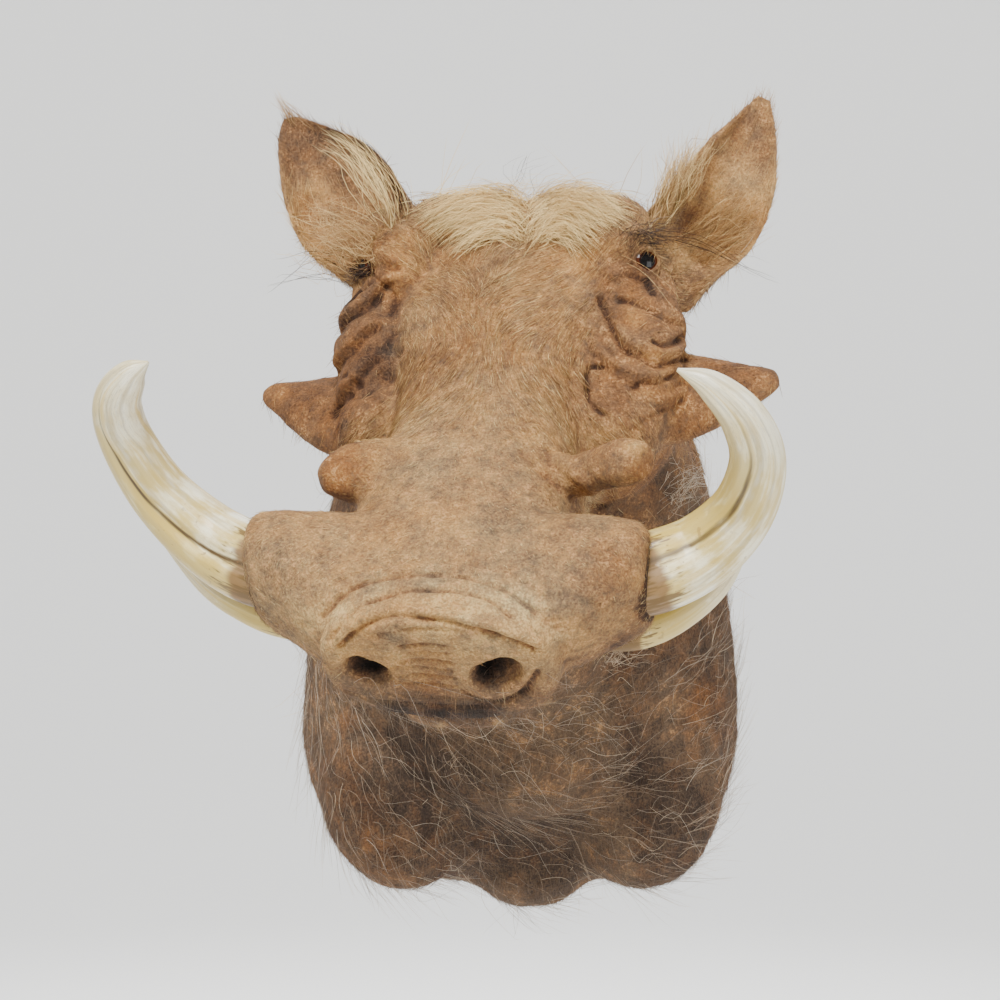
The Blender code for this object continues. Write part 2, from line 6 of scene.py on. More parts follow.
import bmesh
import bpy
import numpy as np
from mathutils import Matrix, Vector
from mathutils.bvhtree import BVHTree


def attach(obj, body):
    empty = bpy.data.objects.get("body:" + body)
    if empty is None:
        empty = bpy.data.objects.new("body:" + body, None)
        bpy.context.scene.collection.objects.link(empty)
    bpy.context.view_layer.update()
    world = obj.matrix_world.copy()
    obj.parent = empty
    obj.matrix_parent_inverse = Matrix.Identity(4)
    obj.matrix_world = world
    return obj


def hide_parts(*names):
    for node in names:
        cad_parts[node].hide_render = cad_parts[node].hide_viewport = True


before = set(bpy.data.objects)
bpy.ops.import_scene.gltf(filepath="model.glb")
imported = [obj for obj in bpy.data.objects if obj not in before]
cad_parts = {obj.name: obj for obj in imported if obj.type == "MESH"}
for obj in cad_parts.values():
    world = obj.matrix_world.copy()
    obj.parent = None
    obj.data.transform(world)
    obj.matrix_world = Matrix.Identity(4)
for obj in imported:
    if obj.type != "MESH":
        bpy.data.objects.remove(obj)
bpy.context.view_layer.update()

# Camera

view = {"place": Vector((-0.01425, -1.71, 0.095)), "lens": 87.48, "sensor": 36.0, "pixels": 1000}


def linked(name, data):
    thing = bpy.data.objects.new(name, data)
    bpy.context.scene.collection.objects.link(thing)
    return thing


def makeCamera():
    camera = linked("camera", bpy.data.cameras.new("camera"))
    camera.data.lens = view["lens"]
    camera.data.sensor_width = view["sensor"]
    camera.data.clip_start = 0.05
    camera.data.clip_end = 60
    camera.location = view["place"]
    camera.rotation_euler = (math.radians(90), 0, 0)
    bpy.context.scene.camera = camera


def sightLine(across, down):
    # From the camera through a spot of the 1000 x 1000 picture
    reach = view["pixels"] * view["lens"] / view["sensor"]
    middle = view["pixels"] / 2
    return Vector(((across - middle) / reach, 1, (middle - down) / reach)).normalized()


# Shader maths

class Value:
    # A shader socket: an expression on values adds its Math nodes
    def __init__(self, finish, socket):
        self.finish = finish
        self.socket = socket

    def maths(self, operation, first, second=0.0):
        return self.finish.node("ShaderNodeMath", {"operation": operation}, {0: first, 1: second})

    def __add__(self, other):
        return self.maths("ADD", self, other)

    def __radd__(self, other):
        return self.maths("ADD", other, self)

    def __sub__(self, other):
        return self.maths("SUBTRACT", self, other)

    def __rsub__(self, other):
        return self.maths("SUBTRACT", other, self)

    def __mul__(self, other):
        return self.maths("MULTIPLY", self, other)

    def rising(self, low, high):
        # 0 below low, 1 above high
        return self.finish.node("ShaderNodeMapRange", {"interpolation_type": "SMOOTHSTEP"},
                                {0: self, 1: low, 2: high, 3: 0.0, 4: 1.0})


class Finish:
    # A material and its nodes
    def __init__(self, name):
        self.material = bpy.data.materials.new(name)
        self.material.use_nodes = True
        self.tree = self.material.node_tree
        self.shader = self.tree.nodes["Principled BSDF"]

    def feed(self, socket, value):
        if isinstance(value, Value):
            self.tree.links.new(value.socket, socket)
        else:
            socket.default_value = value

    def node(self, kind, settings=None, inputs=None, output=0):
        made = self.tree.nodes.new(kind)
        for key, setting in (settings or {}).items():
            if key == "stops":
                stops = made.color_ramp.elements
                stops.remove(stops[1])
                stops[0].position = setting[0][0]
                stops[0].color = (*setting[0][1], 1)
                for place, colour in setting[1:]:
                    stops.new(place).color = (*colour, 1)
            else:
                setattr(made, key, setting)
        for key, value in (inputs or {}).items():
            self.feed(made.inputs[key], value)
        return Value(self, made.outputs[output])

    def shade(self, **sockets):
        # Names a shader socket by its words run together, as in BaseColor
        for socket in self.shader.inputs:
            plain = socket.name.replace(" ", "")
            if plain in sockets:
                self.feed(socket, sockets[plain])

    def coords(self, stretch=(1, 1, 1)):
        place = self.node("ShaderNodeTexCoord", output=3)
        if tuple(stretch) == (1, 1, 1):
            return place
        return self.node("ShaderNodeMapping", inputs={0: place, 3: stretch})

    def noise(self, scale, detail=3.0, stretch=(1, 1, 1), roughness=0.55):
        return self.node("ShaderNodeTexNoise", inputs={"Vector": self.coords(stretch), "Scale": scale,
                                                       "Detail": detail, "Roughness": roughness})

    def mix(self, factor, first, second):
        return self.node("ShaderNodeMix", {"data_type": "RGBA"}, {0: factor, 6: first, 7: second}, 2)

    def ramp(self, value, stops):
        return self.node("ShaderNodeValToRGB", {"stops": stops}, {0: value})

    def bump(self, height, distance, strength=1.0, below=None):
        inputs = {"Height": height, "Distance": distance, "Strength": strength}
        if below:
            inputs["Normal"] = below
        return self.node("ShaderNodeBump", inputs=inputs)

    def parts(self, attribute):
        # The three numbers of a vertex attribute
        colour = self.node("ShaderNodeAttribute", {"attribute_name": attribute})
        split = self.node("ShaderNodeSeparateColor", inputs={0: colour})
        return [Value(self, output) for output in split.socket.node.outputs[:3]]


# The head's own frame: X across the face, -Y along the snout, Z out of the forehead

headPitch = math.radians(45)
headTurn = math.radians(11.6)
browPoint = Vector((-0.0114, -0.2185, 0.2385))
headFrame = (Matrix.Translation(browPoint) @ Matrix.Rotation(-headTurn, 4, "Z")
             @ Matrix.Rotation(headPitch, 4, "X"))
wallFrame = Matrix.Identity(4)
headMiddle = -0.004
eyeSpacing = 0.164
eyeBack = 0.008
eyeDrop = 0.008
eyeRadius = 0.0135
noseReach = 0.296
earThickness = 0.006
shoulderHalfWidth = 0.140
backTop = 0.200
backBottom = -0.165
rearShape = (2.2, 3.0, 0.20)


def evenRows(rows, count):
    # Smooth curves through given rows of numbers, read at even steps
    rows = np.array(rows, dtype=float)
    padded = np.concatenate([[2 * rows[0] - rows[1]], rows, [2 * rows[-1] - rows[-2]]])
    read = []
    for step in range(count):
        place = step / (count - 1) * (len(rows) - 1)
        first = min(int(place), len(rows) - 2)
        t = place - first
        a, b, c, d = padded[first:first + 4]
        read.append(0.5 * (2 * b + (c - a) * t + (2 * a - 5 * b + 4 * c - d) * t * t
                           + (3 * b - a - 3 * c + d) * t ** 3))
    return read


def evenPath(points, count):
    return [Vector(row) for row in evenRows(points, count)]


def loftRings(bm, rings, matrix):
    # rings are lists of points of one length: a circle takes the first, and is extruded to the others
    place = bm.verts.layers.int.get("place") or bm.verts.layers.int.new("place")
    fresh = bmesh.ops.create_circle(bm, segments=len(rings[0]), radius=1)["verts"]
    for number, vert in enumerate(fresh):
        vert[place] = number
    edges = list({edge for vert in fresh for edge in vert.link_edges})
    first = edges
    for ring in rings:
        if ring is not rings[0]:
            grown = bmesh.ops.extrude_edge_only(bm, edges=edges)["geom"]
            fresh = {item for item in grown if isinstance(item, bmesh.types.BMVert)}
            edges = list({edge for vert in fresh for edge in vert.link_edges
                          if edge.other_vert(vert) in fresh})
        for vert in fresh:
            vert.co = matrix @ Vector(ring[vert[place]])
    bmesh.ops.contextual_create(bm, geom=first)
    bmesh.ops.contextual_create(bm, geom=edges)


def power(value, exponent):
    return math.copysign(abs(value) ** exponent, value)


def sectionPoint(angle, halfWidth, top, bottom, squareTop, squareBottom, spread):
    # A rounded section: spread widens it toward the bottom
    square = squareTop if math.sin(angle) > 0 else squareBottom
    across = power(math.cos(angle), 2 / square)
    up = power(math.sin(angle), 2 / square)
    middle = (top + bottom) / 2
    return halfWidth * across * (1 - spread * up), middle + (top - bottom) / 2 * up


def addSectionLoft(bm, sections, matrix, sides=96):
    # sections: (place along -Y, half width, top, bottom, squareness of top and bottom, spread)
    rings = []
    for place, *shape in sections:
        ring = []
        for side in range(sides):
            x, z = sectionPoint(2 * math.pi * side / sides, *shape)
            ring.append((x, -place, z))
        rings.append(ring)
    loftRings(bm, rings, matrix)


def addBall(bm, centre, radii, matrix, turn=(0, 0, 0)):
    # centre as (across, forward, up)
    across, forward, up = centre
    place = matrix @ Matrix.Translation((across, -forward, up))
    for angle, axis in zip(turn, "XYZ"):
        place = place @ Matrix.Rotation(math.radians(angle), 4, axis)
    bmesh.ops.create_icosphere(bm, subdivisions=5, radius=1,
                               matrix=place @ Matrix.Diagonal((radii[0], radii[1], radii[2], 1)))


def grooveDepth(turn, along, grooves):
    # Share of the radius that the grooves take away: angle at root and tip, half width, share
    depth = 0
    for root, tip, width, share in grooves:
        centre = root + (tip - root) * along
        apart = (turn - centre + math.pi) % (2 * math.pi) - math.pi
        depth += share * max(0, 1 - (apart / width) ** 2) ** 1.5
    return depth


def tubeRings(points, radii, flatness, sides, steps, grooves=(), up=Vector((0, 0, 1))):
    # Rings square to a smooth path; radii are spread evenly along it
    spots = evenPath(points, steps)
    widths = evenRows([(radius,) for radius in radii], steps)
    rings = []
    for index, spot in enumerate(spots):
        ahead = spots[min(index + 1, steps - 1)] - spots[max(index - 1, 0)]
        ahead.normalize()
        side = ahead.cross(up).normalized()
        rise = side.cross(ahead).normalized()
        ring = []
        for number in range(sides):
            turn = 2 * math.pi * number / sides
            reach = float(widths[index][0]) * (1 - grooveDepth(turn, index / (steps - 1), grooves))
            ring.append(spot + reach * (math.cos(turn) * side + flatness * math.sin(turn) * rise))
        rings.append(ring)
    return rings


# Making and finding places on meshes

def addPiece(name, mesh, finish, replaced=()):
    piece = linked(name, mesh)
    mesh.materials.clear()
    mesh.materials.append(finish.material)
    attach(piece, "root")
    if replaced:
        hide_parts(*replaced)
    print("made", name, "with", len(mesh.polygons), "faces")
    return piece


def closedMesh(name, bm):
    bmesh.ops.recalc_face_normals(bm, faces=bm.faces)
    if bm.calc_volume(signed=True) < 0:
        bmesh.ops.reverse_faces(bm, faces=bm.faces)
    mesh = bpy.data.meshes.new(name)
    bm.to_mesh(mesh)
    bm.free()
    mesh.shade_smooth()
    return mesh


def readRows(items, key, width, kind=np.float32):
    values = np.empty(len(items) * width, dtype=kind)
    items.foreach_get(key, values)
    return values.reshape(-1, width)


def meshPlaces(mesh):
    return readRows(mesh.vertices, "co", 3)


def meshNormals(mesh):
    return readRows(mesh.vertex_normals, "vector", 3)


def moveTo(mesh, places):
    mesh.vertices.foreach_set("co", np.ascontiguousarray(places, dtype=np.float32).ravel())
    mesh.update()


def surfaceTree(mesh):
    bm = bmesh.new()
    bm.from_mesh(mesh)
    tree = BVHTree.FromBMesh(bm)
    bm.free()
    return tree


def unit(vectors):
    return vectors / np.maximum(np.linalg.norm(vectors, axis=-1, keepdims=True), 1e-9)


def smoothStep(low, high, values):
    t = np.clip((values - low) / (high - low), 0, 1)
    return t * t * (3 - 2 * t)


def headPlaces(places):
    # Across, forward along the snout, out of the forehead
    inverse = np.array(headFrame.inverted(), dtype=np.float32)
    local = places @ inverse[:3, :3].T + inverse[:3, 3]
    local[:, 1] *= -1
    return local


def softNoise(places, size, seed):
    # Smooth noise between -1 and 1, with blobs about as wide as size (a number, or one for each axis)
    draw = np.random.default_rng(seed)
    order = draw.permutation(256)
    levels = draw.random(256) * 2 - 1
    cells = places / np.asarray(size)
    low = np.floor(cells).astype(np.int64)
    t = cells - low
    t = t * t * (3 - 2 * t)
    total = np.zeros(len(places))
    for corner in itertools.product((0, 1), repeat=3):
        x, y, z = (low + corner).T % 256
        near = np.prod(np.where(np.array(corner) == 1, t, 1 - t), axis=1)
        total += levels[order[(order[(order[x] + y) % 256] + z) % 256]] * near
    return total


def pathReach(places, path):
    # How far each place is from a path of points
    nearest = np.full(len(places), np.inf, dtype=np.float32)
    for start, end in zip(path[:-1], path[1:]):
        run = end - start
        along = np.clip((places - start) @ run / max(run @ run, 1e-12), 0, 1)
        nearest = np.minimum(nearest, np.linalg.norm(places - start - along[:, None] * run, axis=1))
    return nearest


def snapHead(tree, points):
    # Head-frame points, brought onto the skin
    spots = evenPath(points, 5 * len(points))
    return np.array([tree.find_nearest(headFrame @ Vector((s.x, -s.y, s.z)))[0] for s in spots],
                    dtype=np.float32)


def snapView(tree, points):
    # Spots of the picture, brought onto what they show
    hits = []
    for spot in evenPath([(across, 0, down) for across, down in points], 5 * len(points)):
        hit = tree.ray_cast(view["place"], sightLine(spot.x, spot.z))[0]
        if hit:
            hits.append(hit)
    return np.array(hits, dtype=np.float32)


def besideStroke(places, path, reach):
    return np.all((places > path.min(0) - reach) & (places < path.max(0) + reach), axis=1)


def pushStrokes(mesh, strokes):
    # Moves the skin in or out near each stroke: (path on the skin, reach, height)
    places = meshPlaces(mesh)
    normals = meshNormals(mesh)
    shift = np.zeros(len(places), dtype=np.float32)
    for path, reach, height in strokes:
        near = besideStroke(places, path, reach)
        fade = np.clip(1 - (pathReach(places[near], path) / reach) ** 2, 0, 1)
        shift[near] += height * fade * fade
    moveTo(mesh, places + shift[:, None] * normals)


# The form: sections, balls and warts under the skin

skullSections = [
    (-0.078, 0.030, -0.030, -0.110, 2.0, 2.0, 0.00),
    (-0.068, 0.056, -0.008, -0.135, 2.2, 2.2, 0.00),
    (-0.045, 0.073, 0.006, -0.150, 2.4, 2.4, 0.05),
    (0.000, 0.084, 0.012, -0.160, 2.8, 2.4, 0.08),
    (0.035, 0.086, 0.011, -0.165, 2.8, 2.4, 0.10),
    (0.065, 0.077, 0.008, -0.155, 2.8, 2.4, 0.12),
    (0.095, 0.064, 0.005, -0.135, 2.8, 2.4, 0.12),
    (0.125, 0.060, 0.004, -0.115, 2.8, 2.4, 0.08),
    (0.160, 0.061, 0.004, -0.098, 3.0, 2.4, 0.04),
    (0.200, 0.064, 0.005, -0.086, 3.0, 2.6, 0.02),
    (0.240, 0.064, 0.006, -0.080, 3.0, 2.6, 0.00),
    (0.268, 0.063, 0.005, -0.080, 3.0, 2.6, 0.00),
    (0.286, 0.066, 0.005, -0.086, 2.6, 2.4, 0.00),
    (noseReach - 0.003, 0.066, 0.003, -0.086, 2.6, 2.4, 0.00),
    (noseReach, 0.061, -0.002, -0.080, 2.4, 2.4, 0.00)]

jawSections = [
    (0.000, 0.052, -0.080, -0.160, 2.2, 2.2, 0.0),
    (0.060, 0.056, -0.080, -0.165, 2.2, 2.2, 0.0),
    (0.120, 0.052, -0.070, -0.148, 2.2, 2.2, 0.0),
    (0.180, 0.048, -0.060, -0.130, 2.2, 2.2, 0.0),
    (0.230, 0.047, -0.060, -0.121, 2.4, 2.4, 0.0),
    (0.264, 0.044, -0.062, -0.118, 2.6, 2.6, 0.0),
    (0.280, 0.034, -0.070, -0.112, 2.4, 2.4, 0.0)]

# Along -Y from the wall: the shoulders, then the neck rising into the skull
neckSections = [
    (0.000, shoulderHalfWidth - 0.004, backTop, backBottom, *rearShape),
    (0.008, shoulderHalfWidth, backTop + 0.004, backBottom - 0.004, *rearShape),
    (0.040, shoulderHalfWidth + 0.001, 0.218, -0.168, *rearShape),
    (0.070, shoulderHalfWidth - 0.003, 0.230, -0.155, 2.2, 2.8, 0.20),
    (0.100, 0.132, 0.241, -0.128, 2.2, 2.6, 0.18),
    (0.130, 0.120, 0.251, -0.090, 2.2, 2.4, 0.14),
    (0.160, 0.107, 0.260, -0.045, 2.2, 2.2, 0.10),
    (0.190, 0.092, 0.262, 0.005, 2.2, 2.2, 0.05),
    (0.215, 0.070, 0.250, 0.060, 2.0, 2.0, 0.00)]

# Balls that fill out the head, in its frame: centre (across, forward, up), radii, turn in degrees
headBalls = [
    ((-0.050, 0.025, -0.085), (0.056, 0.080, 0.060), (0, 0, 0)),
    ((0.050, 0.025, -0.085), (0.056, 0.080, 0.060), (0, 0, 0)),
    ((-0.068, -0.012, -0.002), (0.026, 0.034, 0.019), (0, -12, -15)),
    ((0.068, -0.012, -0.002), (0.026, 0.034, 0.019), (0, 12, 15)),
    ((-0.081, 0.003, -0.018), (0.020, 0.016, 0.018), (0, 0, 0)),
    ((0.087, 0.006, -0.016), (0.021, 0.018, 0.018), (0, 0, 0)),
    ((-0.082, 0.020, -0.026), (0.025, 0.017, 0.024), (0, 0, 20)),
    ((0.088, 0.026, -0.026), (0.027, 0.019, 0.024), (0, 0, -20)),
    ((-0.079, 0.043, -0.034), (0.029, 0.019, 0.028), (0, 0, 25)),
    ((0.086, 0.051, -0.030), (0.030, 0.017, 0.027), (0, 0, -25)),
    ((-0.074, 0.066, -0.044), (0.030, 0.018, 0.030), (0, 0, 25)),
    ((0.082, 0.073, -0.038), (0.029, 0.016, 0.029), (0, 0, -25)),
    ((-0.070, 0.092, -0.052), (0.028, 0.030, 0.030), (0, 0, 0)),
    ((0.072, 0.096, -0.050), (0.030, 0.030, 0.030), (0, 0, 0))]

# Shoulder points, brisket and throat, as (across, out from the wall, up)
bodyBalls = [
    ((-0.080, 0.075, -0.092), (0.056, 0.058, 0.076), (0, 0, 0)),
    ((0.080, 0.075, -0.092), (0.056, 0.058, 0.076), (0, 0, 0)),
    ((-0.086, 0.028, -0.136), (0.034, 0.034, 0.030), (0, 0, 0)),
    ((0.086, 0.028, -0.132), (0.034, 0.034, 0.028), (0, 0, 0)),
    ((0.006, 0.042, -0.150), (0.044, 0.048, 0.034), (0, 0, 0)),
    ((0.000, 0.170, 0.045), (0.072, 0.080, 0.085), (0, 0, 0)),
    ((0.000, 0.125, -0.030), (0.085, 0.055, 0.085), (0, 0, 0))]

# The mane: two humps on the crown, parted in the middle, and a ridge down the back of the neck
maneBalls = [
    ((-0.036, 0.176, 0.262), (0.040, 0.030, 0.024), (0, 12, 0)),
    ((0.040, 0.176, 0.263), (0.042, 0.030, 0.024), (0, -12, 0)),
    ((0.000, 0.150, 0.262), (0.046, 0.034, 0.024), (0, 0, 0)),
    ((0.000, 0.105, 0.240), (0.040, 0.050, 0.026), (-14, 0, 0)),
    ((0.000, 0.050, 0.214), (0.034, 0.046, 0.026), (-20, 0, 0))]

# Warts, as paths in the head's frame (across, forward, up) with radii from root to tip
wartPaths = {
    "left cheek": ([(-0.070, 0.070, -0.062), (-0.100, 0.064, -0.064), (-0.130, 0.055, -0.063),
                    (-0.156, 0.046, -0.060)], (0.038, 0.032, 0.020, 0.007), 0.60),
    "right cheek": ([(0.074, 0.058, -0.060), (0.106, 0.052, -0.062), (0.140, 0.045, -0.062),
                     (0.167, 0.038, -0.060)], (0.044, 0.036, 0.022, 0.008), 0.58),
    "left snout": ([(-0.042, 0.164, -0.022), (-0.060, 0.168, -0.014), (-0.074, 0.175, -0.009),
                    (-0.083, 0.180, -0.008)], (0.026, 0.022, 0.016, 0.009), 0.85),
    "right snout": ([(0.046, 0.166, -0.024), (0.070, 0.171, -0.010), (0.092, 0.178, 0.004),
                     (0.107, 0.183, 0.010)], (0.016, 0.0125, 0.0145, 0.0120), 0.95)}

# The lip's cuffs that hold the tusks: rings across the snout, (across, rear, front, top, bottom)
cuffSections = [
    (-0.116, 0.212, 0.244, -0.002, -0.054),
    (-0.111, 0.204, 0.254, 0.005, -0.062),
    (-0.090, 0.202, 0.268, 0.008, -0.068),
    (-0.060, 0.200, 0.284, 0.007, -0.074),
    (0.000, 0.196, 0.288, 0.002, -0.078),
    (0.060, 0.200, 0.284, 0.007, -0.074),
    (0.088, 0.206, 0.270, 0.008, -0.068),
    (0.107, 0.212, 0.256, 0.005, -0.062),
    (0.112, 0.219, 0.248, -0.002, -0.054)]

# Tusks, in the head's frame: (across, forward, up) from inside the socket to the tip, then radii
tuskPaths = {
    "upper_left_tusk": ([(-0.088, 0.232, -0.030), (-0.116, 0.224, -0.031), (-0.146, 0.209, -0.026),
                         (-0.173, 0.196, -0.002), (-0.185, 0.191, 0.036), (-0.182, 0.193, 0.066),
                         (-0.170, 0.192, 0.085), (-0.158, 0.190, 0.0935)],
                        (0.0220, 0.0235, 0.0215, 0.0180, 0.0155, 0.0138, 0.0095, 0.0010)),
    "upper_right_tusk": ([(0.086, 0.236, -0.030), (0.112, 0.228, -0.031), (0.138, 0.216, -0.026),
                          (0.161, 0.209, -0.002), (0.172, 0.210, 0.036), (0.167, 0.211, 0.068),
                          (0.151, 0.207, 0.088), (0.134, 0.203, 0.0955)],
                         (0.0215, 0.0230, 0.0210, 0.0178, 0.0152, 0.0125, 0.0080, 0.0010)),
    "lower_left_tusk": ([(-0.076, 0.233, -0.070), (-0.106, 0.228, -0.074), (-0.131, 0.221, -0.071),
                         (-0.155, 0.213, -0.059), (-0.179, 0.205, -0.025)],
                        (0.0105, 0.0105, 0.0090, 0.0065, 0.0012)),
    "lower_right_tusk": ([(0.076, 0.236, -0.072), (0.100, 0.230, -0.076), (0.122, 0.220, -0.073),
                          (0.144, 0.207, -0.061), (0.164, 0.202, -0.029)],
                         (0.0110, 0.0110, 0.0095, 0.0070, 0.0012))}

# Grooves run the length of a tusk: angle from its inner edge at root and tip, half width, share
tuskGrooves = {
    "upper_left_tusk": [(1.45, 2.55, 0.30, 0.15), (0.75, 0.95, 0.22, 0.02), (4.3, 4.3, 0.5, 0.10)],
    "upper_right_tusk": [(-1.45, -1.35, 0.30, 0.15), (-2.35, -1.95, 0.30, 0.15), (1.9, 1.9, 0.5, 0.10)],
    "lower_left_tusk": [(2.0, 2.0, 0.35, 0.05)],
    "lower_right_tusk": [(-2.0, -2.0, 0.35, 0.05)]}

# Ears, as edges in the wall's frame seen from the front: (across, up) from root to tip, then the
# distance out from the wall along the middle and how deep the cup is
leftEar = {
    "outer": [(-0.096, 0.224), (-0.118, 0.240), (-0.139, 0.259), (-0.150, 0.284), (-0.155, 0.306),
              (-0.157, 0.328), (-0.155, 0.345)],
    "inner": [(-0.062, 0.250), (-0.068, 0.276), (-0.078, 0.295), (-0.090, 0.312), (-0.107, 0.328),
              (-0.128, 0.338), (-0.151, 0.346)],
    "out": [0.165, 0.160, 0.152, 0.144, 0.136, 0.128, 0.120],
    "cup": [0.030, 0.030, 0.027, 0.022, 0.016, 0.009, 0.002]}
rightEar = {
    "outer": [(0.102, 0.212), (0.122, 0.236), (0.142, 0.252), (0.155, 0.272), (0.162, 0.298),
              (0.164, 0.328), (0.161, 0.356)],
    "inner": [(0.066, 0.250), (0.076, 0.272), (0.092, 0.290), (0.107, 0.307), (0.124, 0.327),
              (0.141, 0.344), (0.156, 0.358)],
    "out": [0.172, 0.166, 0.158, 0.150, 0.142, 0.134, 0.126],
    "cup": [0.030, 0.030, 0.027, 0.022, 0.016, 0.009, 0.002]}
earSteps = 40
earHalfPoints = 22

# Sculpted lines in the head's frame: points (across, forward, up), reach, height
creases = [
    ([(-0.100, 0.012, -0.010), (-0.082, 0.014, 0.004), (-0.064, 0.010, 0.008)], 0.005, -0.003),
    ([(-0.106, 0.031, -0.026), (-0.088, 0.033, -0.004), (-0.070, 0.028, 0.006)], 0.006, -0.005),
    ([(-0.106, 0.055, -0.040), (-0.088, 0.057, -0.016), (-0.070, 0.050, 0.004)], 0.006, -0.005),
    ([(-0.100, 0.080, -0.048), (-0.082, 0.080, -0.022), (-0.068, 0.070, 0.000)], 0.006, -0.004)]
nostrils = [
    ([(-0.044, noseReach, -0.037), (-0.035, noseReach, -0.042)], 0.0105, -0.014),
    ([(0.038, noseReach, -0.036), (0.026, noseReach, -0.042)], 0.0110, -0.014)]
mouthLine = [
    ([(-0.085, 0.240, -0.078), (-0.070, 0.266, -0.084), (-0.040, 0.280, -0.088), (0.000, 0.284, -0.090),
      (0.040, 0.280, -0.088), (0.070, 0.266, -0.084), (0.088, 0.236, -0.078)], 0.008, -0.006)]


def earRings(ear, thickness):
    # Each ring is a crescent: the hollow front from the outer edge to the inner, then back behind
    outer = evenPath([(across, 0, up) for across, up in ear["outer"]], earSteps)
    inner = evenPath([(across, 0, up) for across, up in ear["inner"]], earSteps)
    out = evenPath([(value, 0, 0) for value in ear["out"]], earSteps)
    cup = evenPath([(value, 0, 0) for value in ear["cup"]], earSteps)
    rings = []
    for step in range(earSteps):
        half = (inner[step] - outer[step]) / 2
        middle = (inner[step] + outer[step]) / 2
        outward = half.normalized()
        front = []
        back = []
        for index in range(earHalfPoints):
            angle = math.pi * index / (earHalfPoints - 1)
            flat = middle - half * math.cos(angle)
            hollow = cup[step].x * math.sin(angle)
            edge = thickness * (0.5 + 0.5 * math.sin(angle))
            front.append(flat + Vector((0, -out[step].x + hollow - edge / 2, 0)))
            back.append(flat - outward * math.cos(angle) * thickness * 0.35
                        + Vector((0, -out[step].x + hollow + edge / 2, 0)))
        rings.append(front + back[::-1])
    return rings


def addWart(bm, path, radii, flatness):
    spots = [(across, -forward, up) for across, forward, up in path]
    loftRings(bm, tubeRings(spots, radii, flatness, 48, 30), headFrame)


def addCuffs(bm, sides=64):
    rings = []
    for across, rear, front, top, bottom in evenRows(cuffSections, 33):
        ring = []
        for side in range(sides):
            angle = 2 * math.pi * side / sides
            forward = (rear + front) / 2 + (front - rear) / 2 * power(math.cos(angle), 0.8)
            up = (top + bottom) / 2 + (top - bottom) / 2 * power(math.sin(angle), 0.8)
            ring.append((across, -forward, up))
        rings.append(ring)
    loftRings(bm, rings, headFrame)


# The skin

skin = {"voxel": 0.0019, "joinSmoothing": 30, "earVoxel": 0.0015, "earSmoothing": 5,
        "triangles": 188000, "lump": 0.0012}
boardPocket = {"depth": 0.0184, "inset": 0.0117, "sides": 96, "past": 0.02}


def splinedSections(sections):
    return evenRows(sections, 4 * len(sections))


def voxelSkin(mesh, voxel, smoothing):
    # Overlapping closed shapes become one skin, whose joins are then softened
    thing = linked("lumps", mesh)
    remesh = thing.modifiers.new("one skin", "REMESH")
    remesh.mode = "VOXEL"
    remesh.voxel_size = voxel
    soften = thing.modifiers.new("soft joins", "SMOOTH")
    soften.factor = 0.5
    soften.iterations = smoothing
    return settledMesh(thing)


def settledMesh(thing):
    # The mesh that an object's modifiers leave
    bpy.context.view_layer.update()
    graph = bpy.context.evaluated_depsgraph_get()
    mesh = bpy.data.meshes.new_from_object(thing.evaluated_get(graph))
    bpy.data.objects.remove(thing, do_unlink=True)
    return mesh


def formMesh():
    bm = bmesh.new()
    addSectionLoft(bm, splinedSections(skullSections), headFrame)
    addSectionLoft(bm, splinedSections(jawSections), headFrame)
    addSectionLoft(bm, splinedSections(neckSections), wallFrame)
    addCuffs(bm)
    for centre, radii, turn in headBalls:
        addBall(bm, centre, radii, headFrame, turn)
    for centre, radii, turn in bodyBalls + maneBalls:
        addBall(bm, centre, radii, wallFrame, turn)
    for path, radii, flatness in wartPaths.values():
        addWart(bm, path, radii, flatness)
    smooth = voxelSkin(closedMesh("form", bm), skin["voxel"], skin["joinSmoothing"])
    bm = bmesh.new()
    bm.from_mesh(smooth)
    for ear in (leftEar, rightEar):
        loftRings(bm, earRings(ear, earThickness), wallFrame)
    return voxelSkin(closedMesh("form", bm), skin["earVoxel"], skin["earSmoothing"])


def cutBoardPocket(mesh):
    outline = []
    inset = boardPocket["inset"]
    for side in range(boardPocket["sides"]):
        angle = 2 * math.pi * side / boardPocket["sides"]
        outline.append(sectionPoint(angle, shoulderHalfWidth - inset, backTop - inset,
                                    backBottom + inset, *rearShape))
    bm = bmesh.new()
    ends = (-boardPocket["depth"], boardPocket["past"])
    loftRings(bm, [[(x, y, z) for x, z in outline] for y in ends], wallFrame)
    cutter = linked("pocket", closedMesh("pocket", bm))
    thing = linked("skin", mesh)
    cut = thing.modifiers.new("pocket", "BOOLEAN")
    cut.object = cutter
    cut.solver = "EXACT"
    cutMesh = settledMesh(thing)
    bpy.data.objects.remove(cutter, do_unlink=True)
    return cutMesh


def headShare(places):
    # 1 on the head, 0 on the neck and shoulders
    head = headPlaces(np.asarray(places, dtype=np.float32))
    return smoothStep(-0.10, -0.03, head[:, 1]) * smoothStep(-0.20, -0.13, head[:, 2] - 0.4 * head[:, 1])


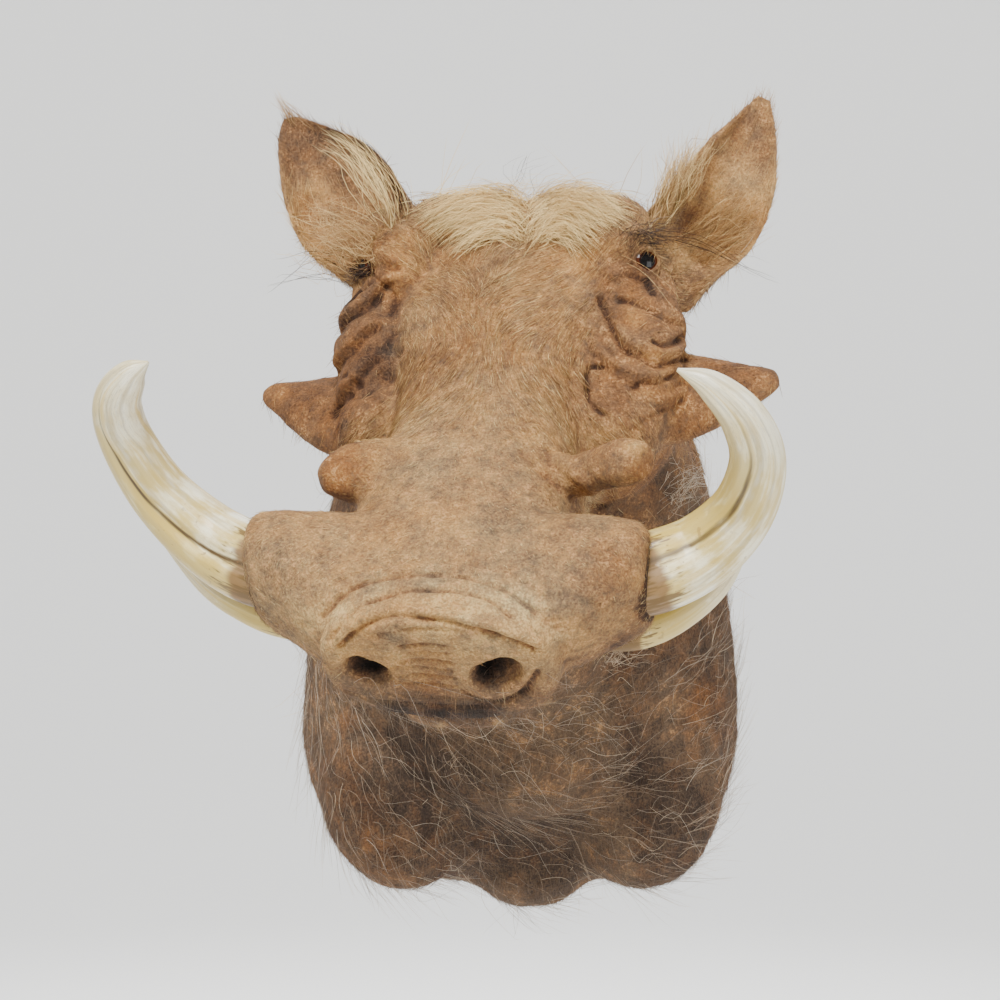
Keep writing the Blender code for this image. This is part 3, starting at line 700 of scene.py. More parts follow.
def wrinkleSkin(mesh):
    # Folds round the eyes and over the nose, and soft lumps on the shoulders
    places = meshPlaces(mesh)
    normals = meshNormals(mesh)
    head = headPlaces(places)
    onHead = headShare(places)
    eyeSide = smoothStep(0.045, 0.07, -head[:, 0]) * smoothStep(0.13, 0.09, head[:, 1])
    eyeSide *= smoothStep(-0.04, -0.01, head[:, 1]) * smoothStep(-0.10, -0.06, head[:, 2])
    nose = smoothStep(0.245, 0.275, head[:, 1]) * smoothStep(-0.12, -0.10, head[:, 2])
    folds = softNoise(head, (0.030, 0.0055, 0.012), 11)
    creaseNoise = -np.abs(softNoise(head, (0.016, 0.0038, 0.0045), 12)) + 0.25
    lumps = softNoise(places, 0.030, 13) + 0.5 * softNoise(places, 0.013, 14)
    fine = softNoise(places, 0.0055, 15)
    shift = onHead * (0.0013 * folds * eyeSide + 0.0011 * creaseNoise * nose)
    shift += (1 - onHead) * skin["lump"] * lumps + 0.00035 * fine + onHead * 0.0004 * lumps
    shift *= smoothStep(0.0, -0.012, places[:, 1])
    moveTo(mesh, places + shift[:, None].astype(np.float32) * normals)


# Strokes in the picture's own spots: points, reach, height
viewStrokes = [
    ([(600, 300), (608, 318), (615, 336), (623, 349), (639, 356), (653, 364), (667, 365), (687, 357)],
     0.0040, -0.0032),
    ([(634, 387), (643, 384), (658, 383), (670, 378), (688, 371)], 0.0034, -0.0028),
    ([(655, 342), (664, 346), (672, 345), (678, 342), (686, 334)], 0.0040, -0.0040),
    ([(620, 330), (632, 341), (650, 349), (668, 351), (684, 344)], 0.0060, 0.0032),
    ([(614, 275), (628, 270), (644, 276), (660, 290), (672, 302)], 0.0050, 0.0024),
    ([(606, 288), (616, 279), (632, 277), (648, 284)], 0.0026, -0.0009),
    ([(620, 300), (636, 303), (654, 312), (672, 322), (684, 326)], 0.0034, -0.0024),
    ([(616, 312), (632, 316), (650, 324), (668, 334)], 0.0070, 0.0030),
    ([(592, 330), (600, 350), (614, 366), (634, 376)], 0.0050, 0.0012),
    ([(610, 292), (606, 310), (612, 330), (622, 344)], 0.0080, 0.0012),
    ([(602, 367), (590, 367), (587, 381), (588, 395), (593, 405), (603, 414)], 0.0026, -0.0026),
    ([(598, 350), (610, 360), (622, 367), (640, 372), (655, 374)], 0.0044, 0.0022),
    ([(612, 385), (618, 394), (616, 405), (624, 414)], 0.0026, -0.0009),
    ([(632, 432), (640, 425), (650, 418), (664, 412)], 0.0026, -0.0012),
    ([(660, 400), (672, 396), (684, 390)], 0.0044, 0.0022),
    ([(648, 402), (658, 410), (672, 408), (684, 400)], 0.0026, -0.0010),
    ([(343, 374), (353, 382), (363, 386), (369, 382)], 0.0034, -0.0014),
    ([(346, 395), (356, 397), (364, 396), (374, 388)], 0.0034, -0.0012),
    ([(410, 341), (398, 356), (385, 372)], 0.0060, -0.0010),
    ([(368, 262), (372, 274), (380, 285), (394, 295)], 0.0030, -0.0024),
    ([(330, 640), (345, 618), (368, 602), (398, 592), (428, 589), (462, 592), (490, 600), (512, 616)],
     0.0030, -0.0020),
    ([(322, 618), (345, 594), (375, 580), (420, 574), (468, 578), (508, 592), (534, 612)], 0.0028, -0.0016),
    ([(316, 600), (345, 578), (380, 566), (425, 561), (475, 565), (515, 578), (542, 596)], 0.0028, -0.0008),
    ([(335, 640), (356, 622), (388, 609), (440, 613), (498, 628), (540, 643)], 0.0040, 0.0020),
    ([(338, 648), (358, 630), (390, 617), (440, 621), (496, 636), (534, 650)], 0.0028, -0.0024),
    ([(534, 430), (558, 455), (582, 480), (600, 497)], 0.0070, 0.0024),
    ([(520, 452), (548, 478), (575, 500), (604, 508)], 0.0040, -0.0012),
    ([(378, 636), (405, 630), (432, 629), (462, 632)], 0.0022, -0.0013),
    ([(398, 648), (420, 645), (446, 647)], 0.0022, -0.0013),
    ([(400, 662), (424, 660), (450, 663)], 0.0022, -0.0013),
    ([(398, 676), (424, 675), (455, 678)], 0.0022, -0.0013),
    ([(340, 690), (372, 700), (410, 704), (455, 706), (500, 704), (530, 692)], 0.0030, -0.0012),
    ([(462, 692), (480, 700), (502, 701), (524, 692), (538, 672)], 0.0036, -0.0018),
    ([(470, 684), (490, 690), (512, 688), (528, 674)], 0.0050, 0.0014),
    ([(390, 668), (420, 667), (452, 671)], 0.0018, -0.0012),
    ([(396, 684), (424, 683), (458, 686)], 0.0018, -0.0012),
    ([(404, 655), (426, 653), (448, 655)], 0.0018, -0.0012),
    ([(380, 694), (420, 696), (462, 699)], 0.0020, -0.0009)]


# Eyelids: the way that each eye looks, half angles of its opening, and the lids' thickness
eyeLooks = {
    "left_eye": {"side": -1, "look": (-0.86, -0.48, 0.10), "wide": 0.62, "tall": 0.50},
    "right_eye": {"side": 1, "look": (0.30, -0.93, 0.16), "wide": 0.56, "tall": 0.52}}
lids = {"height": 0.0016, "fineWithin": 0.015, "reach": 0.034, "almond": 1.8}


def eyeSpot(side):
    return Vector((side * eyeSpacing / 2, eyeBack, -eyeDrop))


def eyeCentre(side):
    return headFrame @ eyeSpot(side)


def openEyes(mesh):
    # Finer faces round each eye, then the skin goes behind the ball in an almond and over it outside
    bm = bmesh.new()
    bm.from_mesh(mesh)
    for _ in range(2):
        near = set()
        for eye in eyeLooks.values():
            centre = eyeCentre(eye["side"]) + Vector(eye["look"]).normalized() * eyeRadius
            near |= {edge for vert in bm.verts if (vert.co - centre).length < lids["fineWithin"]
                     for edge in vert.link_edges}
        bmesh.ops.subdivide_edges(bm, edges=list(near), cuts=1, use_grid_fill=True)
    for eye in eyeLooks.values():
        centre = eyeCentre(eye["side"])
        look = Vector(eye["look"]).normalized()
        wide = look.cross(Vector((0, 0, 1))).normalized()
        tall = wide.cross(look)
        for vert in bm.verts:
            out = vert.co - centre
            distance = out.length
            if distance > lids["reach"] or out.dot(look) < 0:
                continue
            across = math.atan2(out.dot(wide), out.dot(look)) / eye["wide"]
            up = math.atan2(out.dot(tall), out.dot(look)) / eye["tall"]
            ring = (abs(across) ** lids["almond"] + abs(up) ** lids["almond"]) ** (1 / lids["almond"])
            if ring < 1:
                wanted = eyeRadius * (0.80 + 0.14 * ring ** 6)
            else:
                lid = eyeRadius + lids["height"] * math.exp(-((ring - 1.15) / 0.35) ** 2)
                blend = min(1, max(0, (ring - 1.2) / 1.1))
                wanted = lid + (distance - lid) * blend * blend * (3 - 2 * blend)
            vert.co = centre + out * (wanted / distance)
    bm.to_mesh(mesh)
    bm.free()
    mesh.update()


def makeSkin():
    mesh = formMesh()
    calmSkin(mesh)
    openEyes(mesh)
    tree = surfaceTree(mesh)
    strokes = [(snapHead(tree, points), reach, height)
               for points, reach, height in creases + nostrils + mouthLine]
    strokes += [(snapView(tree, points), reach, height) for points, reach, height in viewStrokes]
    strokes = [stroke for stroke in strokes if len(stroke[0]) > 1]
    pushStrokes(mesh, strokes)
    wrinkleSkin(mesh)
    thing = linked("skin", mesh)
    thin = thing.modifiers.new("fewer faces", "DECIMATE")
    thin.ratio = min(1, skin["triangles"] / (2 * len(mesh.polygons)))
    thin.use_collapse_triangulate = True
    mesh = cutBoardPocket(settledMesh(thing))
    places = meshPlaces(mesh)
    places[:, 1] = np.minimum(places[:, 1], 0)
    moveTo(mesh, places)
    mesh.shade_smooth()
    return mesh, strokes


# Colour of the hide and its hair: warm runs from grey-brown to orange, light from dark to straw

coolStops = [(0.00, (0.007, 0.005, 0.004)), (0.30, (0.064, 0.041, 0.028)), (0.55, (0.200, 0.128, 0.076)),
             (0.78, (0.460, 0.315, 0.155)), (1.00, (0.980, 0.790, 0.390))]
warmStops = [(0.00, (0.020, 0.009, 0.005)), (0.30, (0.125, 0.048, 0.018)), (0.55, (0.350, 0.145, 0.046)),
             (0.78, (0.610, 0.320, 0.100)), (1.00, (0.980, 0.660, 0.260))]

# Soft patches on the skin: spot of the picture, radius in metres, warmer, lighter
patches = [
    (397, 252, 0.016, 0.35, 0.05), (570, 263, 0.016, 0.30, 0.05), (455, 339, 0.018, 0.05, -0.08),
    (600, 250, 0.014, 0.30, 0.03), (395, 285, 0.012, 0.25, 0.03),
    (633, 289, 0.007, 0.5, 0.10), (651, 300, 0.006, 0.4, 0.08), (633, 318, 0.008, 0.5, 0.10),
    (655, 353, 0.006, 0.4, 0.08), (685, 381, 0.008, 0.4, 0.06), (672, 400, 0.012, 0.35, 0.04),
    (320, 190, 0.012, 0.10, 0.12), (345, 180, 0.010, 0.0, -0.06), (690, 560, 0.020, -0.3, 0.08),
    (640, 268, 0.010, 0.0, -0.16), (664, 300, 0.010, -0.2, -0.10), (620, 400, 0.016, -0.05, -0.08),
    (350, 320, 0.022, -0.05, -0.18), (365, 360, 0.020, -0.05, -0.17), (392, 350, 0.012, -0.35, -0.12),
    (300, 398, 0.022, 0.05, -0.17), (280, 396, 0.006, 0.2, 0.10), (340, 420, 0.020, 0.05, -0.12),
    (740, 375, 0.022, 0.10, -0.10), (770, 385, 0.007, 0.3, 0.10), (690, 420, 0.016, 0.25, -0.05),
    (345, 462, 0.016, 0.40, -0.06), (333, 476, 0.007, 0.3, 0.10), (560, 455, 0.014, 0.40, 0.03),
    (590, 495, 0.008, 0.50, 0.05), (638, 445, 0.008, 0.15, 0.22), (640, 470, 0.008, 0.3, 0.0),
    (665, 480, 0.020, -0.40, -0.15), (690, 520, 0.020, -0.30, -0.10),
    (392, 638, 0.009, -0.55, -0.13), (465, 636, 0.004, -0.5, -0.13), (488, 650, 0.005, -0.5, -0.12),
    (430, 660, 0.010, 0.2, -0.04), (430, 690, 0.014, 0.25, -0.05),
    # The next four spots are painted shade inside the nostrils
    (362, 664, 0.006, -0.3, -0.5), (373, 664, 0.005, -0.3, -0.5), (482, 668, 0.006, -0.3, -0.5),
    (500, 663, 0.006, -0.3, -0.5),
    (340, 610, 0.008, -0.25, 0.05), (380, 585, 0.010, -0.30, 0.06), (430, 578, 0.010, -0.30, 0.06),
    (480, 583, 0.010, -0.30, 0.06), (520, 600, 0.008, -0.25, 0.05), (610, 510, 0.016, -0.35, -0.05),
    (575, 600, 0.016, -0.25, -0.05), (610, 570, 0.014, 0.15, -0.05), (280, 560, 0.016, -0.20, -0.03),
    (440, 470, 0.020, -0.25, 0.02), (500, 520, 0.020, -0.20, 0.0), (380, 530, 0.016, 0.1, 0.0),
    # The next three spots are painted shade under the lip
    (400, 712, 0.010, -0.3, -0.36), (440, 714, 0.010, -0.3, -0.40), (480, 713, 0.010, -0.3, -0.36),
    (440, 726, 0.004, 0.2, 0.30), (500, 722, 0.004, 0.2, 0.30), (545, 703, 0.005, 0.2, 0.25),
    (620, 642, 0.007, 0.0, -0.30), (380, 240, 0.006, 0.0, -0.25), (690, 214, 0.007, 0.0, -0.22),
    (682, 232, 0.007, 0.0, -0.22), (700, 190, 0.006, 0.0, -0.12),
    (702, 700, 0.018, 0.45, 0.00), (430, 760, 0.040, -0.40, -0.12), (500, 830, 0.045, -0.35, -0.20),
    (650, 790, 0.050, -0.30, -0.08), (340, 740, 0.040, -0.05, 0.05), (440, 770, 0.030, -0.2, -0.08),
    (560, 880, 0.025, -0.2, -0.08), (640, 640, 0.030, 0.10, -0.12), (380, 860, 0.025, 0.1, -0.04)]


def patchPlaces(tree):
    found = []
    for across, down, radius, warmer, lighter in patches:
        hit = tree.ray_cast(view["place"], sightLine(across, down))[0]
        if hit:
            found.append((np.array(hit), radius, warmer, lighter))
    return found


def wartShare(places):
    # 1 on the warts and on the bags under the eyes, which have next to no hair
    head = headPlaces(places.astype(np.float32))
    cheekWart = smoothStep(0.088, 0.100, np.abs(head[:, 0])) * smoothStep(0.02, 0.04, head[:, 1])
    cheekWart *= smoothStep(0.115, 0.095, head[:, 1])
    snoutWart = smoothStep(0.058, 0.066, np.abs(head[:, 0])) * smoothStep(0.14, 0.15, head[:, 1])
    snoutWart *= smoothStep(0.202, 0.195, head[:, 1])
    bag = smoothStep(0.055, 0.068, np.abs(head[:, 0])) * smoothStep(-0.005, 0.01, head[:, 1])
    bag *= smoothStep(0.115, 0.095, head[:, 1])
    return np.clip(cheekWart + snoutWart + bag, 0, 1)


def earShare(places):
    aside = np.abs(places[:, 0] - headMiddle)
    return smoothStep(0.235, 0.262, places[:, 2]) * smoothStep(0.072, 0.095, aside)


def hideTint(places, found):
    # Warm and light for places on the skin
    head = headPlaces(places.astype(np.float32))
    onHead = headShare(places)
    warm = 0.36 + 0.16 * onHead
    light = 0.55 + 0.105 * onHead
    ear = earShare(places)
    low = smoothStep(0.33, 0.29, places[:, 2])
    warm += ear * (0.12 + 0.10 * low)
    light += ear * (-0.09 + 0.15 * low + 0.15 * (places[:, 0] > 0))
    nose = smoothStep(0.262, 0.285, head[:, 1]) * onHead
    light += 0.095 * nose
    warm += 0.12 * nose
    # Painted shade under the lip: the lowest rim of the nose disc is darkened
    light -= 0.26 * nose * smoothStep(-0.070, -0.082, head[:, 2])
    light += 0.02 * smoothStep(0.10, 0.14, head[:, 1]) * onHead * smoothStep(-0.05, -0.02, head[:, 2])
    chest = (1 - onHead) * smoothStep(0.08, -0.02, places[:, 2])
    light -= 0.065 * chest
    warm -= 0.16 * chest
    bald = wartShare(places)
    light -= 0.09 * bald
    warm += 0.08 * bald
    for centre, radius, warmer, lighter in found:
        near = np.exp(-np.sum((places - centre) ** 2, axis=1) / radius ** 2)
        warm = warm + warmer * near
        light = light + lighter * near
    warm += 0.20 * softNoise(places, 0.045, 21) + 0.18 * softNoise(places, 0.010, 22)
    light += 0.05 * softNoise(places, 0.035, 23) + 0.05 * softNoise(places, 0.008, 24)
    return np.clip(warm, 0, 1), np.clip(light, 0.02, 0.98)


def neighbourMeans(mesh):
    # A call that gives each vertex the mean of a value over its neighbours
    first, second = readRows(mesh.edges, "vertices", 2, np.int32).T
    count = len(mesh.vertices)
    share = np.maximum(np.bincount(first, minlength=count) + np.bincount(second, minlength=count), 1)

    def mean(values):
        if values.ndim == 2:
            return np.stack([mean(column) for column in values.T], axis=1)
        ahead = np.bincount(first, values[second], count)
        behind = np.bincount(second, values[first], count)
        return (ahead + behind) / share

    return mean


hollowRounds = 6


def hollows(mesh, places, normals):
    # How far each vertex sits below the mean of its neighbours, spread a little
    mean = neighbourMeans(mesh)
    depth = np.sum((mean(places) - places) * normals, axis=1)
    for _ in range(hollowRounds):
        depth = 0.5 * depth + 0.5 * mean(depth)
    return depth


calmRounds = 150


def calmSkin(mesh):
    # Evens out the right cheek and the chest, whose folds are shallow
    places = meshPlaces(mesh).astype(float)
    head = headPlaces(places.astype(np.float32))
    mean = neighbourMeans(mesh)
    cheek = smoothStep(0.030, 0.055, head[:, 0]) * smoothStep(0.125, 0.10, head[:, 1])
    cheek *= smoothStep(-0.05, -0.02, head[:, 1]) * smoothStep(-0.10, -0.07, head[:, 2])
    cheek *= smoothStep(0.118, 0.098, head[:, 0])
    chest = smoothStep(0.02, -0.04, places[:, 2]) * smoothStep(-0.006, -0.03, places[:, 1])
    chest *= 1 - headShare(places)
    calm = np.maximum(cheek, 0.8 * chest)[:, None]
    for _ in range(calmRounds):
        places += 0.6 * calm * (mean(places) - places)
    moveTo(mesh, places)


# Depths in metres at which a hollow, a crease and a hole take their full painted shade
shadeDepths = {"hollow": 0.00032, "most": 0.60, "crease": 0.0055, "hole": -0.008}


def paintSkin(mesh, strokes, found):
    places = meshPlaces(mesh)
    normals = meshNormals(mesh)
    warm, light = hideTint(places, found)
    depth = hollows(mesh, places, normals)
    # Painted shade in hollows, from how far each vertex sits below its neighbours; below zero, on ridges,
    # it turns into a painted highlight
    paintedShading = np.clip(depth / shadeDepths["hollow"], -1, shadeDepths["most"])
    # Painted shade along each sunken crease, and full painted shade inside the nostril holes
    for path, reach, height in strokes:
        if height > 0:
            continue
        near = besideStroke(places, path, reach)
        hole = height < shadeDepths["hole"]
        shadeReach = (0.9 if hole else 0.65) * reach
        fade = np.clip(1 - (pathReach(places[near], path) / shadeReach) ** 2, 0, 1)
        fade *= 1 if hole else 0.75 + 0.25 * softNoise(places[near], 0.010, 25)
        paintedShading[near] = np.maximum(paintedShading[near], fade * min(1, abs(height) / shadeDepths["crease"]))
    # Painted shade in the gap of skin round each tusk where it leaves the lip
    for path, radii in tuskPaths.values():
        spots = [headFrame @ Vector((across, -forward, up)) for across, forward, up in path[:3]]
        gap = pathReach(places, np.array(evenRows(spots, 12), dtype=np.float32)) / radii[1]
        paintedShading = np.maximum(paintedShading, smoothStep(1.22, 1.04, gap))
    colours = np.ones((len(places), 4), dtype=np.float32)
    colours[:, 0] = warm
    colours[:, 1] = light
    # The third number carries the painted shade, and below 0.5 the painted highlight on ridges
    colours[:, 2] = 0.5 + 0.5 * paintedShading
    layer = mesh.attributes.new("tint", "FLOAT_COLOR", "POINT")
    layer.data.foreach_set("color", colours.ravel())


def hideFinish():
    finish = Finish("tanned hide")
    warm, light, paintedShading = finish.parts("tint")
    grain = finish.noise(680, 5, roughness=0.65)
    blotch = finish.noise(75, 5, roughness=0.65)
    crust = finish.noise(190, 7, roughness=0.75)
    specks = finish.noise(1050, 3, roughness=0.6)
    # Painted shade darkens the hollows, creases, nostrils and tusk gaps; a painted highlight lightens and
    # warms the ridges
    deep = (paintedShading - 0.5).rising(0.0, 0.5)
    ridgeHighlight = (0.5 - paintedShading).rising(0.0, 0.5)
    lightNow = light + (grain - 0.5) * 0.80 + (blotch - 0.5) * 0.42 + (crust - 0.5) * 0.22
    lightNow = lightNow - deep * 0.50 + ridgeHighlight * 0.06
    lightNow = lightNow - specks.rising(0.60, 0.70) * 0.13
    warmNow = warm + (blotch - 0.5) * 1.4 + (crust - 0.5) * 1.1 + ridgeHighlight * 0.15
    base = finish.mix(warmNow, finish.ramp(lightNow, coolStops), finish.ramp(lightNow, warmStops))
    clusters = (blotch + (crust - 0.5) * 0.3).rising(0.48, 0.58) * light.rising(0.40, 0.56) * (1 - deep)
    flakes = (crust + (grain - 0.5) * 0.6).rising(0.56, 0.61) * clusters * 0.7
    base = finish.mix(flakes, base, (0.68, 0.38, 0.17, 1))
    scabs = (crust - (grain - 0.5) * 0.5).rising(0.44, 0.37) * light.rising(0.40, 0.55) * 0.5
    base = finish.mix(scabs, base, (0.110, 0.070, 0.048, 1))
    low = finish.bump(crust, 0.0034, 0.85)
    finish.shade(BaseColor=base, Roughness=0.74 + (grain - 0.5) * 0.3,
                 Normal=finish.bump(grain + specks * 0.5, 0.0015, 0.9, low), SpecularIORLevel=0.22)
    return finish


# Hair: closed three-sided strands joined into one mesh, coloured by u for warm and v for light

def strandMesh(name, paths, widths, warm, light, tipLift):
    count, steps = paths.shape[:2]
    ahead = unit(np.gradient(paths, axis=1))
    lean = paths[:, -1] - paths[:, 0]
    helper = np.where(np.abs(unit(lean)[:, 2:3]) < 0.8, (0, 0, 1), (1, 0, 0))[:, None, :]
    side = unit(np.cross(ahead, helper))
    rise = np.cross(side, ahead)
    rings = steps - 1
    taper = 1 - 0.7 * np.arange(rings) / max(rings, 1)
    corners = []
    for corner in range(3):
        turn = 2 * math.pi * corner / 3
        out = math.cos(turn) * side[:, :-1] + math.sin(turn) * rise[:, :-1]
        corners.append(paths[:, :-1] + widths[:, None, None] * taper[None, :, None] * out)
    around = np.stack(corners, axis=2).reshape(count, rings * 3, 3)
    verts = np.concatenate([around, paths[:, -1:]], axis=1)
    tip = rings * 3
    template = [(0, 1, 2)]
    for ring in range(rings - 1):
        for corner in range(3):
            a = ring * 3 + corner
            b = ring * 3 + (corner + 1) % 3
            template += [(a, a + 3, b + 3), (a, b + 3, b)]
    for corner in range(3):
        template.append(((rings - 1) * 3 + corner, tip, (rings - 1) * 3 + (corner + 1) % 3))
    template = np.array(template)
    perStrand = tip + 1
    faces = (template[None] + perStrand * np.arange(count)[:, None, None]).reshape(-1, 3)
    along = np.append(np.repeat(np.arange(rings) / rings, 3), 1.0)
    lift = light[:, None] + tipLift * (along[None] - 0.3)
    vertUV = np.stack([np.broadcast_to(warm[:, None], lift.shape), lift], axis=2).reshape(-1, 2)
    mesh = bpy.data.meshes.new(name)
    mesh.vertices.add(count * perStrand)
    mesh.loops.add(faces.size)
    mesh.polygons.add(len(faces))
    mesh.vertices.foreach_set("co", verts.astype(np.float32).ravel())
    mesh.loops.foreach_set("vertex_index", faces.ravel().astype(np.int32))
    mesh.polygons.foreach_set("loop_start", np.arange(0, faces.size, 3, dtype=np.int32))
    mesh.update(calc_edges=True)
    layer = mesh.uv_layers.new(name="OFBake")
    spread = np.clip(vertUV[faces.ravel()], 0.01, 0.99)
    layer.data.foreach_set("uv", spread.astype(np.float32).ravel())
    mesh.shade_smooth()
    return mesh


paleStops = [(0.00, (0.040, 0.030, 0.022)), (0.50, (0.220, 0.170, 0.125)), (1.00, (0.860, 0.740, 0.580))]


def hairFinish(name, cool, warmer, roughness=0.55):
    finish = Finish(name)
    place = finish.node("ShaderNodeUVMap", {"uv_map": "OFBake"})
    split = finish.node("ShaderNodeSeparateXYZ", inputs={0: place})
    warm, light = [Value(finish, output) for output in split.socket.node.outputs[:2]]
    base = finish.mix(warm, finish.ramp(light, cool), finish.ramp(light, warmer))
    finish.shade(BaseColor=base, Roughness=roughness, SpecularIORLevel=0.25)
    return finish


def skinTriangles(mesh):
    mesh.calc_loop_triangles()
    return readRows(mesh.loop_triangles, "vertices", 3, np.int32)


def scatter(skinData, density, count, seed):
    # Places and normals spread over the skin, as thick as density says
    places, normals, corners = skinData
    a, b, c = (places[corners[:, index]] for index in range(3))
    area = np.linalg.norm(np.cross(b - a, c - a), axis=1)
    weight = area * density[corners].mean(axis=1)
    draw = np.random.default_rng(seed)
    chosen = np.searchsorted(np.cumsum(weight) / weight.sum(), draw.random(count))
    chosen = np.minimum(chosen, len(corners) - 1)
    first, second = draw.random((2, count))
    flip = first + second > 1
    first[flip], second[flip] = 1 - first[flip], 1 - second[flip]
    third = 1 - first - second
    spots = a[chosen] * third[:, None] + b[chosen] * first[:, None] + c[chosen] * second[:, None]
    picked = corners[chosen]
    slope = unit(normals[picked[:, 0]] * third[:, None] + normals[picked[:, 1]] * first[:, None]
                 + normals[picked[:, 2]] * second[:, None])
    return spots, slope, draw


hairLimits = {"rear": -0.002, "low": -0.203}


def heldHair(points):
    # Hair stays in front of the wall and above the part's lower limit
    points[..., 1] = np.minimum(points[..., 1], hairLimits["rear"])
    points[..., 2] = np.maximum(points[..., 2], hairLimits["low"])
    return points


def variedWidths(width, count, draw):
    return width * (0.7 + 0.6 * draw.random(count))


# Swirl and stray are shares of the hair's own way; blobs is how wide the swirls are
coatHabit = {"swirl": 0.45, "blobs": 0.028, "stray": 0.16, "seed": 41}
looseHabit = {"swirl": 0.7, "blobs": 0.07, "stray": 0.20, "seed": 61}


def laidHair(way, spots, slope, draw, habit):
    swirl = np.stack([softNoise(spots, habit["blobs"], habit["seed"] + axis) for axis in range(3)], axis=1)
    flow = unit(way) + habit["swirl"] * swirl + draw.normal(0, habit["stray"], spots.shape)
    return unit(flow - np.sum(flow * slope, axis=1, keepdims=True) * slope)


def hairFlow(places):
    # The way that the short coat lies
    head = headPlaces(places.astype(np.float32))
    onHead = headShare(places)[:, None]
    across = np.clip(head[:, 0] / 0.03, -1, 1) * (2.2 * smoothStep(0.058, 0.088, head[:, 1]) - 1.0)
    cheek = smoothStep(-0.03, -0.09, head[:, 2])
    local = np.stack([0.65 * across * (1 - cheek), -(1 - 1.6 * cheek), -0.9 * cheek], axis=1)
    turned = local @ np.array(headFrame.to_3x3(), dtype=np.float32).T
    body = np.stack([0.25 * np.clip(places[:, 0] / 0.1, -1, 1), 0.35 + 0 * places[:, 0],
                     -1 + 0 * places[:, 0]], axis=1)
    nape = smoothStep(0.17, 0.22, places[:, 2])[:, None]
    body = body * (1 - nape) + np.array([0, 1, -0.2]) * nape
    aside = np.abs(places[:, 0] - headMiddle)
    ear = (smoothStep(0.255, 0.275, places[:, 2]) * smoothStep(0.085, 0.10, aside))[:, None]
    earWay = np.stack([0.4 * np.sign(places[:, 0]), 0.25 + 0 * places[:, 0], 1 + 0 * places[:, 0]], axis=1)
    flow = turned * onHead + body * (1 - onHead)
    return flow * (1 - ear) + earWay * ear


coats = {
    "face": {"count": 46000, "length": (0.006, 0.017), "width": 0.00018, "lift": 0.16,
             "contrast": 0.15, "seed": 31},
    "body": {"count": 44000, "length": (0.007, 0.016), "width": 0.00018, "lift": 0.10,
             "contrast": 0.06, "seed": 32}}


def faceDensity(places, onHead):
    head = headPlaces(places.astype(np.float32))
    snout = smoothStep(0.12, 0.17, head[:, 1])
    nose = smoothStep(0.255, 0.275, head[:, 1])
    bare = (1 - 0.45 * snout) * (1 - 0.97 * nose) * (1 - 0.85 * wartShare(places))
    return onHead * bare * (1 + 0.8 * snout)


def makeCoat(name, coat, density, skinData, found, finish):
    spots, slope, draw = scatter(skinData, density, coat["count"], coat["seed"])
    head = headPlaces(spots.astype(np.float32))
    snout = smoothStep(0.10, 0.17, head[:, 1])[:, None] * headShare(spots)[:, None]
    flow = laidHair(hairFlow(spots), spots, slope, draw, coatHabit)
    tilt = coat["lift"] * (0.3 + 1.3 * draw.random(len(spots)))[:, None]
    low, high = coat["length"]
    length = (low + (high - low) * draw.random(len(spots)))[:, None] * (1 - 0.62 * snout)
    start = spots - 0.0004 * slope
    end = heldHair(start + length * unit(flow + tilt * slope))
    # Each hair takes the skin's warm and light here, including its painted shade under the lip and in the
    # nostrils
    warm, light = hideTint(spots, found)
    warm = warm + draw.normal(0, 0.09, len(spots))
    light = light + draw.normal(0, coat["contrast"], len(spots)) + 0.02
    widths = variedWidths(coat["width"], len(spots), draw)
    mesh = strandMesh(name, np.stack([start, end], axis=1), widths, warm, light, 0.10)
    return addPiece(name, mesh, finish)


# Combed hair: strands lie between guide lines given in spots of the picture, and rest on the skin

